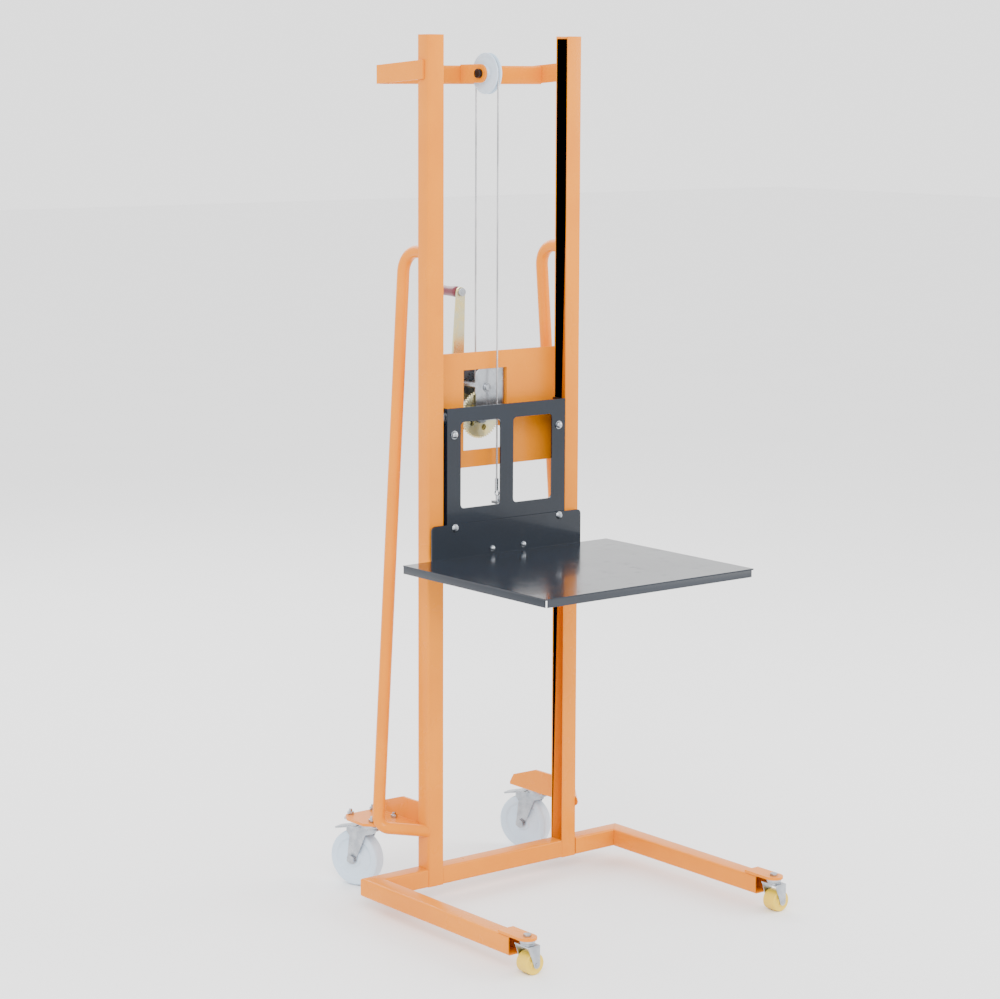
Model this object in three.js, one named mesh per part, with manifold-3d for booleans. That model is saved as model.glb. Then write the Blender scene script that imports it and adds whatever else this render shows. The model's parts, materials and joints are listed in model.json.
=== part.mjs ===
// Hand-winch platform lift: two channel masts on a U-shaped base with two forward legs, a platform
// carriage on rollers inside the masts, and a geared hand winch with a rope over a top sheave.
// Millimetres, +Z up, -Y is the front (the side the legs and the platform point to), +X is the
// right-hand side for someone who looks at the front from behind the masts, so "left" is -X.
// The design is drawn about the masts' centre plane, with the floor at z = 0, and is centred last.
import * as THREE from "three";
import { mergeVertices } from "three/addons/utils/BufferGeometryUtils.js";
import Module from "manifold-3d";

const wasm = await Module();
wasm.setup();

// ---------------------------------------------------------------- driving dimensions
const GAP = 0.3; // between pieces that touch
const OVERLAP = 0.5; // how far welded shapes of one piece run into each other

const MAST_HEIGHT = 1856; // top of the masts above the floor
const MAST_PITCH = 376; // between the two mast centre lines
const TUBE = 40; // outside of every square tube
const WALL = 3; // wall of the square tubes
const CAP_DROP = 2; // cap inside each mast, below its top
const CORNER = 5; // outside corner radius of the square tubes

const BASE_WIDTH = 720; // over the outsides of the legs
const BASE_CLEARANCE = 31; // underside of the base above the floor
const LEG_REACH = 486; // leg tips ahead of the mast centre plane

const TOE_LENGTH = 90; // toe plate
const TOE_THICKNESS = 6;
const TOE_BOLT_REACH = 36; // swivel bolt ahead of the leg tip
const FRONT_WHEEL_RADIUS = 22.5;
const FRONT_WHEEL_WIDTH = 38;
const FRONT_TRAIL = 7;
const FRONT_AXLE_RADIUS = 4;

const REAR_WHEEL_RADIUS = 62.5;
const REAR_WHEEL_WIDTH = 36;
const REAR_TRAIL = 40;
const REAR_STEER_DEGREES = 20; // how far both rear casters stand turned
const REAR_SWIVEL_Y = 144;
const REAR_AXLE_RADIUS = 5;
const BRACKET_THICKNESS = 6;
const BRACKET_GUSSET_HEIGHT = 46;
const CASTER_PLATE_WIDTH = 85;
const CASTER_PLATE_DEPTH = 105;
const CASTER_PLATE_THICKNESS = 4;
const CASTER_BOLT_HOLE = 4.4;
const CASTER_BOLT_PITCH_X = 60;
const CASTER_BOLT_PITCH_Y = 80;

const HANDLE_DIAMETER = 27;
const HANDLE_TOP_Z = 1402;
const HANDLE_DEPTH = 73; // grip line behind the rear faces of the masts, at the top
const HANDLE_FOOT_Y = 80;
const HANDLE_END_Y = -4; // where the foot of a handle meets the outer face of its mast
const HANDLE_BEND = 46;
const HANDLE_FOOT_BEND = 24;

const HEAD_REACH = 157; // rear face of the top crossbar
const HEAD_ARM_THICKNESS = 5;
const HEAD_ARM_RISE = 11; // the side arms climb this much towards the masts
const SHEAVE_Y = 48;
const SHEAVE_LIFT = 3; // sheave axle above the centre of the crossbar
const SHEAVE_RADIUS = 44;
const SHEAVE_ROPE_RADIUS = 38; // rope centre line on the sheave
const SHEAVE_WIDTH = 28;
const SHEAVE_CHEEK_THICKNESS = 5;
const SHEAVE_AXLE_RADIUS = 6;
const ROPE_DIAMETER = 4;

const PANEL_TOP = 1183;
const PANEL_BOTTOM = 934;
const PANEL_LAP = 14; // onto the rear face of each mast
const PANEL_THICKNESS = 4;
const WINDOW = { left: -83, right: 35, bottom: 971, top: 1145 }; // opening in the winch panel
const TAB_THICKNESS = 4; // mounting tab folded back from the window's right edge

const WINCH_CHEEK_THICKNESS = 3;
const WINCH_WIDTH = 84; // over the two cheeks
const WINCH_CHEEK_SPAN = 78; // from the base plate to the free edge
const WINCH_CHEEK_TOP = 1144;
const WINCH_CHEEK_HEIGHT = 130;
const DRUM_X = -26;
const DRUM_Z = 1044;
const DRUM_RADIUS = 20;
const DRUM_FLANGE_RADIUS = 42;
const DRUM_ROPE_RADIUS = 26; // rope centre line as it leaves the winding
const GEAR_MODULE = 2;
const GEAR_TEETH = 50;
const PINION_TEETH = 11;
const PINION_LEAN_DEGREES = 11.54; // from straight above the drum, towards +X
const GEAR_WIDTH = 6;
const RATCHET_TEETH = 12;
const RATCHET_RADIUS = 18;
const RATCHET_WIDTH = 5;
const PAWL_OFFSET = { x: 28, z: 22 }; // pawl pin from the pinion shaft
const CRANK_LENGTH = 199;
const CRANK_LEAN_DEGREES = 2.8;
const CRANK_SETBACK = 20; // middle of the crank behind the winch frame
const CRANK_THICKNESS = 6;
const GRIP_LENGTH = 108;
const GRIP_RADIUS = 12.5;
const SHAFT_RADIUS = 7;

const PLATFORM_FRONT_Y = -504;
const PLATFORM_TOP = 749;
const PLATFORM_SHEET = 3;
const PLATFORM_RIM = 18;
const RIM_NOTCH = 5; // open corner between the front rim and each side rim
const UPSTAND_TOP = 823;
const UPSTAND_THICKNESS = 4;
const SUPPORT_X = 177;
const SUPPORT_WIDTH = 30;
const SUPPORT_DEPTH = 23;
const SUPPORT_FRONT_Y = -455;

const CARRIAGE_BOTTOM = 755;
const CARRIAGE_TOP = 1072;
const CARRIAGE_SHEET = 4;
const CARRIAGE_FLANGE_REAR_Y = 12;
const CARRIAGE_WINDOW = { inner: 17.5, margin: 36.5, bottom: 855, top: 1041 };
const ROLLER_WIDTH = 16;
const ROLLER_UPPER_Z = 1052;
const ROLLER_LOWER_Z = 790;
const ROLLER_AXLE_RADIUS = 5;
const PLATFORM_BOLT_Z = 815;
const PLATFORM_BOLT_RADIUS = 5;

const HEAD_DROP = 83; // centre of the top crossbar below the mast tops
const PLATFORM_SIDE_GAP = 38; // between the platform and each leg
const CARRIAGE_SIDE_GAP = 5.5; // between the carriage and each mast
const CARRIAGE_FRONT_GAP = 6; // between the platform's upstand and the masts
const WINCH_SETBACK = 8; // winch frame behind the rear faces of the masts
const ROLLER_PLAY = 0.5; // each side of a guide roller in its mast
const REAR_SWIVEL_OUT = 51; // swivel axes outside the mast centre lines
const REAR_CASTER_ROOM = 30; // caster bracket above the top of the wheel
const HANDLE_FOOT_OUT = 84; // handle feet outside the mast centre lines
const CLAMP_BOLT_INSET = 18.5; // clamp bolts from the sides of the carriage

// ---------------------------------------------------------------- derived places
const MAST_X = MAST_PITCH / 2;
const HALF = TUBE / 2;
const BASE_TOP = BASE_CLEARANCE + TUBE;
const HEAD_Z = MAST_HEIGHT - HEAD_DROP;
const PLATFORM_WIDTH = BASE_WIDTH - 2 * (TUBE + PLATFORM_SIDE_GAP);
const PLATFORM_REAR_Y = -HALF - CARRIAGE_FRONT_GAP;
const UPSTAND_WIDTH = MAST_PITCH + TUBE - 4;
const CARRIAGE_WIDTH = MAST_PITCH - TUBE - 2 * CARRIAGE_SIDE_GAP;
const CLAMP_BOLT_X = CARRIAGE_WIDTH / 2 - CLAMP_BOLT_INSET;
const ROLLER_RADIUS = HALF - WALL - ROLLER_PLAY;
const GUIDE_DISC_RADIUS = HALF - ROLLER_PLAY;
const REAR_SWIVEL_X = MAST_X + REAR_SWIVEL_OUT;
const REAR_CASTER_HEIGHT = 2 * REAR_WHEEL_RADIUS + REAR_CASTER_ROOM; // floor to the bracket
const HANDLE_FOOT_X = MAST_X + HANDLE_FOOT_OUT;
const HANDLE_FOOT_Z = REAR_CASTER_HEIGHT;
const WINCH_CHEEK_FRONT_Y = HALF + WINCH_SETBACK;
const PEDAL_PIVOT = { y: REAR_TRAIL + 6, z: 2 * REAR_WHEEL_RADIUS + 6 }; // from the swivel axis
const LEG_X = BASE_WIDTH / 2 - HALF;
const TOE_BOLT_Y = -LEG_REACH - TOE_BOLT_REACH;
const MAST_INNER_X = MAST_X - HALF;
const PANEL_FRONT_Y = HALF + GAP;
const MAST_OUTER_X = MAST_X + HALF;
const HEAD_LOW = REAR_CASTER_HEIGHT - GAP - CASTER_PLATE_THICKNESS; // underside of the head plates
const RACE_Z = HEAD_LOW - 7; // plane between the two races of a swivel
const HEAD_FRONT_Y = HEAD_REACH - TUBE;
const SHEAVE_Z = HEAD_Z + SHEAVE_LIFT;
const ROPE_FRONT_Y = SHEAVE_Y - SHEAVE_ROPE_RADIUS;
const ROPE_REAR_Y = SHEAVE_Y + SHEAVE_ROPE_RADIUS;
const GEAR_RADIUS = (GEAR_MODULE * GEAR_TEETH) / 2;
const PINION_RADIUS = (GEAR_MODULE * PINION_TEETH) / 2;
const WINCH_REAR_Y = WINCH_CHEEK_FRONT_Y + WINCH_WIDTH;
const CRANK_Y = WINCH_REAR_Y + CRANK_SETBACK;
const PINION_LEAN = THREE.MathUtils.degToRad(PINION_LEAN_DEGREES);
const PINION_X = DRUM_X + (GEAR_RADIUS + PINION_RADIUS) * Math.sin(PINION_LEAN);
const PINION_Z = DRUM_Z + (GEAR_RADIUS + PINION_RADIUS) * Math.cos(PINION_LEAN);
const ROLLER_NEAR_X = MAST_INNER_X + WALL + 3;
const ROLLER_LEVELS = [
  ["upper", ROLLER_UPPER_Z],
  ["lower", ROLLER_LOWER_Z],
];
const UPSTAND_FRONT_Y = PLATFORM_REAR_Y - UPSTAND_THICKNESS;
const CARRIAGE_FRONT_Y = PLATFORM_REAR_Y + GAP;
const CARRIAGE_BACK_Y = CARRIAGE_FRONT_Y + CARRIAGE_SHEET;
const ANCHOR_Z = CARRIAGE_WINDOW.bottom + 2;
const FERRULE_TOP = ANCHOR_Z + 48;

// ---------------------------------------------------------------- colours
const finish = (color, roughness, metalness) =>
  new THREE.MeshStandardMaterial({ color, roughness, metalness });
const ORANGE = finish(0xf0a010, 0.35, 0.1);
const BLACK = finish(0x161b24, 0.3, 0.1);
const ZINC = finish(0xb4b9bd, 0.35, 0.9);
const YELLOW_ZINC = finish(0xc2b27a, 0.4, 0.8);
const NYLON = finish(0xe8ecf2, 0.5, 0);
const AMBER = finish(0xe5c53c, 0.45, 0);
const GRIP = finish(0x6a1f30, 0.45, 0);
const STEEL_ROPE = finish(0xa8acb0, 0.4, 0.8);
const DARK_STEEL = finish(0x20242c, 0.4, 0.6);

// ---------------------------------------------------------------- shape helpers
/** A three.js geometry as a manifold solid. */
function solid(geometry) {
  const bare = geometry.index ? geometry.toNonIndexed() : geometry.clone();
  bare.deleteAttribute("normal");
  bare.deleteAttribute("uv");
  const merged = mergeVertices(bare, 1e-4);
  return new wasm.Manifold(
    new wasm.Mesh({
      numProp: 3,
      vertProperties: merged.attributes.position.array,
      triVerts: new Uint32Array(merged.index.array),
    }),
  );
}

/** A manifold solid as a three.js geometry. */
function geometryOf(body) {
  const mesh = body.getMesh();
  const geometry = new THREE.BufferGeometry();
  geometry.setAttribute("position", new THREE.BufferAttribute(mesh.vertProperties, 3));
  geometry.setIndex(new THREE.BufferAttribute(mesh.triVerts, 1));
  return geometry;
}

/** The union of some geometries, less some others. */
function shaped(added, removed = []) {
  let body = added.map(solid).reduce((all, one) => all.add(one));
  for (const cutter of removed) body = body.subtract(solid(cutter));
  return geometryOf(body);
}

/** A box between two corners. */
function block([x0, x1], [y0, y1], [z0, z1]) {
  const box = new THREE.BoxGeometry(Math.abs(x1 - x0), Math.abs(y1 - y0), Math.abs(z1 - z0));
  return box.translate((x0 + x1) / 2, (y0 + y1) / 2, (z0 + z1) / 2);
}

/** Turns a geometry that was made along Z so that its Z runs along the given axis. */
function along(geometry, axis) {
  if (axis === "x") geometry.rotateZ(Math.PI / 2).rotateY(Math.PI / 2);
  if (axis === "y") geometry.rotateZ(Math.PI).rotateX(-Math.PI / 2);
  return geometry;
}

/** A round rod on an axis, centred at a point. */
function rod(axis, radius, length, [x, y, z], sides = 24) {
  const cylinder = new THREE.CylinderGeometry(radius, radius, length, sides).rotateX(Math.PI / 2);
  return along(cylinder, axis).translate(x, y, z);
}

/** A hexagon head or nut on an axis. */
const hexagon = (axis, radius, length, place) => rod(axis, radius, length, place, 6);

/** A body of revolution: [radius, height] pairs, closed on the axis or on themselves. */
function turned(axis, profile, [x, y, z], sides = 32) {
  const points = profile.map(([radius, height]) => new THREE.Vector2(radius, height));
  const lathe = new THREE.LatheGeometry(points, sides).rotateX(Math.PI / 2);
  return along(lathe, axis).translate(x, y, z);
}

/** A ring profile between two radii and two heights, for turned(). */
const ringProfile = (inner, outer, low, high) => [
  [inner, low],
  [outer, low],
  [outer, high],
  [inner, high],
  [inner, low],
];

/** A rectangle outline with round corners. */
function roundedRectangle(x0, x1, y0, y1, radius) {
  const outline = new THREE.Shape();
  outline.moveTo(x0 + radius, y0);
  outline.lineTo(x1 - radius, y0).absarc(x1 - radius, y0 + radius, radius, -Math.PI / 2, 0);
  outline.lineTo(x1, y1 - radius).absarc(x1 - radius, y1 - radius, radius, 0, Math.PI / 2);
  outline.lineTo(x0 + radius, y1).absarc(x0 + radius, y1 - radius, radius, Math.PI / 2, Math.PI);
  outline.lineTo(x0, y0 + radius).absarc(x0 + radius, y0 + radius, radius, Math.PI, Math.PI * 1.5);
  return outline;
}

/** A shape pushed up from z0 to z1. */
function extruded(shape, z0, z1, curveSegments = 5) {
  const body = new THREE.ExtrudeGeometry(shape, {
    depth: z1 - z0,
    bevelEnabled: false,
    curveSegments,
  });
  return body.translate(0, 0, z0);
}

/** A plate in the XZ plane, drawn as (x, z), from y0 to y1. */
const uprightPlate = (shape, y0, y1, curveSegments = 5) =>
  extruded(shape, 0, y1 - y0, curveSegments).rotateX(Math.PI / 2).translate(0, y1, 0);

/** A plate in the YZ plane, drawn as (y, z), from x0 to x1. */
const sidePlate = (shape, x0, x1, curveSegments = 5) =>
  extruded(shape, 0, x1 - x0, curveSegments)
    .rotateX(Math.PI / 2)
    .rotateZ(Math.PI / 2)
    .translate(x0, 0, 0);

/** An outline through some corners. */
const outline = (points) => new THREE.Shape(points.map(([x, y]) => new THREE.Vector2(x, y)));

/** A round bar or rope along a path. */
function swept(path, radius, steps, sides) {
  const section = new THREE.Shape();
  for (let i = 0; i < sides; i++) {
    const angle = (i / sides) * Math.PI * 2;
    const corner = [radius * Math.cos(angle), radius * Math.sin(angle)];
    if (i === 0) section.moveTo(...corner);
    else section.lineTo(...corner);
  }
  return new THREE.ExtrudeGeometry(section, { extrudePath: path, steps, bevelEnabled: false });
}

/** A path of straight runs whose corners are rounded, each by its own radius. */
function bentPath(points, radii) {
  const path = new THREE.CurvePath();
  let start = points[0];
  for (let i = 1; i < points.length - 1; i++) {
    const corner = points[i];
    const back = points[i - 1].clone().sub(corner).normalize();
    const on = points[i + 1].clone().sub(corner).normalize();
    const entry = corner.clone().addScaledVector(back, radii[i - 1]);
    const exit = corner.clone().addScaledVector(on, radii[i - 1]);
    path.add(new THREE.LineCurve3(start, entry));
    path.add(new THREE.QuadraticBezierCurve3(entry, corner, exit));
    start = exit;
  }
  path.add(new THREE.LineCurve3(start, points[points.length - 1]));
  return path;
}

/** The outline of a spur gear with straight-sided teeth, centred on the origin. */
function gearOutline(teeth, turn) {
  const pitch = (GEAR_MODULE * teeth) / 2;
  const tip = pitch + GEAR_MODULE * 0.9;
  const root = pitch - GEAR_MODULE * 1.15;
  const step = (Math.PI * 2) / teeth;
  const points = [];
  for (let i = 0; i < teeth; i++) {
    const middle = i * step + turn;
    for (const [share, radius] of [[-0.29, root], [-0.08, tip], [0.08, tip], [0.29, root]]) {
      const angle = middle + share * step;
      points.push([radius * Math.cos(angle), radius * Math.sin(angle)]);
    }
  }
  return outline(points);
}

const lift = new THREE.Group();

/** Adds a named piece to a group. */
function piece(name, geometry, material, parent = lift) {
  const mesh = new THREE.Mesh(geometry, material);
  mesh.name = name;
  parent.add(mesh);
  return mesh;
}

const SIDES = [
  ["left", -1],
  ["right", 1],
];

/** Mirrors a pair of X limits onto a side, lowest first. */
const xs = (side, near, far) => (side > 0 ? [near, far] : [-far, -near]);

// ---------------------------------------------------------------- masts
/** Channel section of a mast, drawn about its centre, open towards -X. */
function mastSection() {
  const inner = HALF - WALL;
  const section = new THREE.Shape();
  section.moveTo(-HALF, inner);
  section.lineTo(-HALF, HALF);
  section.lineTo(HALF - CORNER, HALF);
  section.absarc(HALF - CORNER, HALF - CORNER, CORNER, Math.PI / 2, 0, true);
  section.lineTo(HALF, -HALF + CORNER);
  section.absarc(HALF - CORNER, -HALF + CORNER, CORNER, 0, -Math.PI / 2, true);
  section.lineTo(-HALF, -HALF);
  section.lineTo(-HALF, -inner);
  section.lineTo(inner, -inner);
  section.lineTo(inner, inner);
  return section;
}

function masts() {
  const inner = HALF - WALL + OVERLAP;
  const capLow = MAST_HEIGHT - CAP_DROP;
  for (const [name, side] of SIDES) {
    const channel = extruded(mastSection(), BASE_CLEARANCE, MAST_HEIGHT, 3);
    const cap = block([-HALF + 1, inner], [-inner, inner], [capLow - WALL, capLow]);
    const mast = shaped([channel, cap]);
    if (side < 0) mast.rotateZ(Math.PI);
    piece(`mast_${name}`, mast.translate(side * MAST_X, 0, 0), ORANGE);
  }
}

// ---------------------------------------------------------------- base
/** A hollow square tube along X or Y between two stations. */
function squareTube(axis, from, to, [across, z]) {
  const section = roundedRectangle(-HALF, HALF, -HALF, HALF, CORNER);
  const inner = HALF - WALL;
  section.holes.push(
    new THREE.Path([
      new THREE.Vector2(-inner, -inner),
      new THREE.Vector2(-inner, inner),
      new THREE.Vector2(inner, inner),
      new THREE.Vector2(inner, -inner),
    ]),
  );
  const tube = along(extruded(section, from, to, 3), axis);
  return axis === "x" ? tube.translate(0, across, z) : tube.translate(across, 0, z);
}

/** Half of the corner between a leg and its stub, to cut the other half's tube to a mitre. */
function mitre(side, part) {
  const far = 3 * HALF;
  const edge = GAP / 2;
  const [low, high] = part === "leg" ? [-far - edge, far - edge] : [-far + edge, far + edge];
  const third = part === "leg" ? [-far, high] : [far, low];
  const corners = [[-far, low], [far, high], third];
  const wedge = outline(corners.map(([x, y]) => [side * (LEG_X + x), y]));
  return extruded(wedge, BASE_CLEARANCE - HALF, BASE_TOP + HALF);
}

function base() {
  const tubeZ = BASE_CLEARANCE + HALF;
  const reach = MAST_INNER_X - GAP;
  piece("base_crossbar", squareTube("x", -reach, reach, [0, tubeZ]), ORANGE);
  for (const [name, side] of SIDES) {
    const [x0, x1] = xs(side, MAST_OUTER_X + GAP, LEG_X + HALF);
    const stub = squareTube("x", x0, x1, [0, tubeZ]);
    piece(`base_stub_${name}`, shaped([stub], [mitre(side, "stub")]), ORANGE);
    const leg = squareTube("y", -LEG_REACH, HALF, [side * LEG_X, tubeZ]);
    piece(`leg_${name}`, shaped([leg], [mitre(side, "leg")]), ORANGE);
    toePlate(name, side);
  }
}

/** Flat plate on top of a leg's tip, with a round front end that holds the swivel bolt. */
function toePlate(name, side) {
  const tip = new THREE.Shape();
  const rear = TOE_BOLT_Y + TOE_LENGTH - HALF;
  tip.moveTo(-HALF, rear);
  tip.lineTo(-HALF, TOE_BOLT_Y);
  tip.absarc(0, TOE_BOLT_Y, HALF, Math.PI, Math.PI * 2);
  tip.lineTo(HALF, rear);
  const low = BASE_TOP + GAP;
  const plate = extruded(tip, low, low + TOE_THICKNESS, 14).translate(side * LEG_X, 0, 0);
  const boltHole = rod("z", FRONT_BOLT_RADIUS + 0.4, TUBE, [side * LEG_X, TOE_BOLT_Y, low]);
  piece(`toe_plate_${name}`, shaped([plate], [boltHole]), ORANGE);
}

// ---------------------------------------------------------------- front casters
const FRONT_BOLT_RADIUS = 5;

function frontCasters() {
  const plateTop = BASE_TOP + GAP + TOE_THICKNESS;
  for (const [name, side] of SIDES) {
    const x = side * LEG_X;
    const y = TOE_BOLT_Y;
    const wheelX = x + FRONT_TRAIL;
    const wheelZ = FRONT_WHEEL_RADIUS;
    const crown = BASE_TOP - 9;
    const bolt = [
      rod("z", FRONT_BOLT_RADIUS, plateTop - BASE_TOP + 10, [x, y, BASE_TOP + 2]),
      hexagon("z", 8.5, 5, [x, y, plateTop + 2.8]),
      rod("z", 16, 5.4, [x, y, BASE_TOP - 3]),
    ];
    piece(`front_bolt_${name}`, shaped(bolt), ZINC);
    const cheekInner = FRONT_WHEEL_WIDTH / 2 + 1;
    const cheekOuter = cheekInner + 2.5;
    const cheek = new THREE.Shape();
    cheek.moveTo(x - 15, crown);
    cheek.lineTo(wheelX - 8, wheelZ);
    cheek.absarc(wheelX, wheelZ, 8, Math.PI, Math.PI * 2);
    cheek.lineTo(x + 15, crown);
    const crownPlate = block([x - 15, x + 15], [y - cheekOuter, y + cheekOuter], [crown - 3, crown]);
    const fork = shaped([
      uprightPlate(cheek, y - cheekOuter, y - cheekInner),
      uprightPlate(cheek, y + cheekInner, y + cheekOuter),
      crownPlate,
      rod("z", 15, 3, [x, y, crown + 1.2]),
      rod("y", FRONT_AXLE_RADIUS, 2 * cheekOuter + 3, [wheelX, y, wheelZ], 16),
    ]);
    piece(`front_fork_${name}`, fork, ZINC);
    const half = FRONT_WHEEL_WIDTH / 2;
    const tread = [
      [FRONT_AXLE_RADIUS + 0.4, -half],
      [FRONT_WHEEL_RADIUS - 3, -half],
      [FRONT_WHEEL_RADIUS, -half + 3],
      [FRONT_WHEEL_RADIUS, half - 3],
      [FRONT_WHEEL_RADIUS - 3, half],
      [FRONT_AXLE_RADIUS + 0.4, half],
      [FRONT_AXLE_RADIUS + 0.4, -half],
    ];
    piece(`front_wheel_${name}`, turned("y", tread, [wheelX, y, wheelZ]), AMBER);
  }
}

// ---------------------------------------------------------------- rear casters
/** The folded bracket that joins a rear caster to its mast: a flat plate and an upright gusset. */
function casterBracket(name, side) {
  const low = REAR_CASTER_HEIGHT;
  const high = low + BRACKET_THICKNESS;
  const top = high + BRACKET_GUSSET_HEIGHT;
  const front = HALF + GAP;
  const outer = REAR_SWIVEL_X + 54;
  const rear = REAR_SWIVEL_Y + 46;
  const footSlope = (HANDLE_FOOT_X - MAST_OUTER_X) / (HANDLE_FOOT_Y - HANDLE_END_Y);
  const plate = outline(
    [
      [MAST_X - BRACKET_THICKNESS / 2, front],
      [MAST_OUTER_X + (front - HANDLE_END_Y) * footSlope, front],
      [HANDLE_FOOT_X, HANDLE_FOOT_Y],
      [outer, HANDLE_FOOT_Y + 24],
      [outer, rear - 26],
      [outer - 10, rear - 6],
      [outer - 16, rear],
      [MAST_X - BRACKET_THICKNESS / 2, rear],
    ].map(([x, y]) => [side * x, y]),
  );
  const gusset = outline([
    [front, low],
    [rear - 6, low],
    [rear, high],
    [rear - 13, high + 20],
    [REAR_SWIVEL_Y - 43, top - 1],
    [front, top],
  ]);
  const [x0, x1] = xs(side, MAST_X - BRACKET_THICKNESS / 2, MAST_X + BRACKET_THICKNESS / 2);
  const holes = boltPlaces(side).map(([x, y]) => rod("z", CASTER_BOLT_HOLE, 40, [x, y, low], 12));
  const around = handleBar(side, HANDLE_DIAMETER / 2 + GAP);
  const body = shaped([extruded(plate, low, high), sidePlate(gusset, x0, x1)], [around, ...holes]);
  piece(`caster_bracket_${name}`, body, ORANGE);
}

/** The four bolts of a rear caster's head plate. */
const boltPlaces = (side) =>
  [-1, 1].flatMap((u) =>
    [-1, 1].map((v) => [
      side * REAR_SWIVEL_X + (u * CASTER_BOLT_PITCH_X) / 2,
      REAR_SWIVEL_Y + (v * CASTER_BOLT_PITCH_Y) / 2,
    ]),
  );

/** Fixed top of a rear caster: head plate, upper bearing race and the four bolts with their nuts. */
function casterHead(name, side) {
  const [x, y] = [side * REAR_SWIVEL_X, REAR_SWIVEL_Y];
  const [w, d] = [CASTER_PLATE_WIDTH / 2, CASTER_PLATE_DEPTH / 2];
  const nutLow = REAR_CASTER_HEIGHT + BRACKET_THICKNESS + GAP;
  const boltTop = nutLow + 12;
  const bolts = boltPlaces(side).flatMap(([bx, by]) => [
    rod("z", 4, boltTop - HEAD_LOW, [bx, by, (boltTop + HEAD_LOW) / 2], 12),
    hexagon("z", 7.5, 6.5, [bx, by, nutLow + 3.25]),
  ]);
  const plate = roundedRectangle(x - w, x + w, y - d, y + d, 8);
  const race = rod("z", 32, HEAD_LOW - RACE_Z + OVERLAP, [x, y, (HEAD_LOW + RACE_Z + OVERLAP) / 2], 24);
  const body = [extruded(plate, HEAD_LOW, REAR_CASTER_HEIGHT - GAP, 3), race, ...bolts];
  piece(`caster_head_${name}`, shaped(body), ZINC);
}

function rearCasters() {
  for (const [name, side] of SIDES) {
    casterBracket(name, side);
    casterHead(name, side);
    const [x, y] = [side * REAR_SWIVEL_X, REAR_SWIVEL_Y];
    const caster = new THREE.Group();
    caster.position.set(x, y, 0);
    caster.rotation.z = THREE.MathUtils.degToRad(REAR_STEER_DEGREES);
    lift.add(caster);
    casterFork(name, caster);
    const half = REAR_WHEEL_WIDTH / 2;
    const bore = REAR_AXLE_RADIUS + 0.4;
    const wheel = [
      [bore, -half],
      [18, -half],
      [44, -half + 6],
      [REAR_WHEEL_RADIUS - 3, -half + 3],
      [REAR_WHEEL_RADIUS, -half + 8],
      [REAR_WHEEL_RADIUS, half - 8],
      [REAR_WHEEL_RADIUS - 3, half - 3],
      [44, half - 6],
      [18, half],
      [bore, half],
      [bore, -half],
    ];
    const place = [0, REAR_TRAIL, REAR_WHEEL_RADIUS];
    piece(`rear_wheel_${name}`, turned("x", wheel, place, 32), NYLON, caster);
    brakePedal(name, caster);
  }
}

/** Swivelling fork of a rear caster, drawn about its swivel axis with the wheel towards +Y. */
function casterFork(name, caster) {
  const inner = REAR_WHEEL_WIDTH / 2 + 1.5;
  const outer = inner + 3;
  const crown = RACE_Z - 7;
  const cheek = new THREE.Shape();
  cheek.moveTo(-24, crown);
  cheek.lineTo(-20, crown - 9);
  cheek.lineTo(4, crown - 16);
  cheek.lineTo(REAR_TRAIL - 13, REAR_WHEEL_RADIUS + 4);
  cheek.absarc(REAR_TRAIL, REAR_WHEEL_RADIUS, 12, Math.PI, Math.PI * 2);
  cheek.lineTo(PEDAL_PIVOT.y, PEDAL_PIVOT.z - 16);
  cheek.lineTo(PEDAL_PIVOT.y + 8, PEDAL_PIVOT.z - 7);
  cheek.lineTo(PEDAL_PIVOT.y + 8, PEDAL_PIVOT.z + 3);
  cheek.lineTo(32, crown);
  const parts = [
    sidePlate(cheek, -outer, -inner),
    sidePlate(cheek, inner, outer),
    block([-outer, outer], [-26, 30], [crown - 3, crown]),
    rod("z", 27, RACE_Z - crown - GAP + OVERLAP, [0, 0, (RACE_Z + crown - GAP - OVERLAP) / 2], 28),
    rod("x", REAR_AXLE_RADIUS, 2 * outer + 4, [0, REAR_TRAIL, REAR_WHEEL_RADIUS], 16),
    hexagon("x", 10, 7, [outer + 3, REAR_TRAIL, REAR_WHEEL_RADIUS]),
    hexagon("x", 10, 7, [-outer - 3, REAR_TRAIL, REAR_WHEEL_RADIUS]),
  ];
  piece(`rear_fork_${name}`, shaped(parts), ZINC, caster);
}

/** Brake pedal over the wheel: a pressed lever on a cross pin. */
function brakePedal(name, caster) {
  const lever = outline([
    [PEDAL_PIVOT.y - 6, PEDAL_PIVOT.z - 2],
    [PEDAL_PIVOT.y + 8, PEDAL_PIVOT.z - 1],
    [PEDAL_PIVOT.y + 44, PEDAL_PIVOT.z - 8],
    [PEDAL_PIVOT.y + 46, PEDAL_PIVOT.z - 5],
    [PEDAL_PIVOT.y + 8, PEDAL_PIVOT.z + 4],
    [PEDAL_PIVOT.y - 6, PEDAL_PIVOT.z + 3],
  ]);
  const pin = rod("x", 3.5, 38, [0, PEDAL_PIVOT.y, PEDAL_PIVOT.z], 12);
  piece(`brake_pedal_${name}`, shaped([sidePlate(lever, -13, 13), pin]), ZINC, caster);
}

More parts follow.
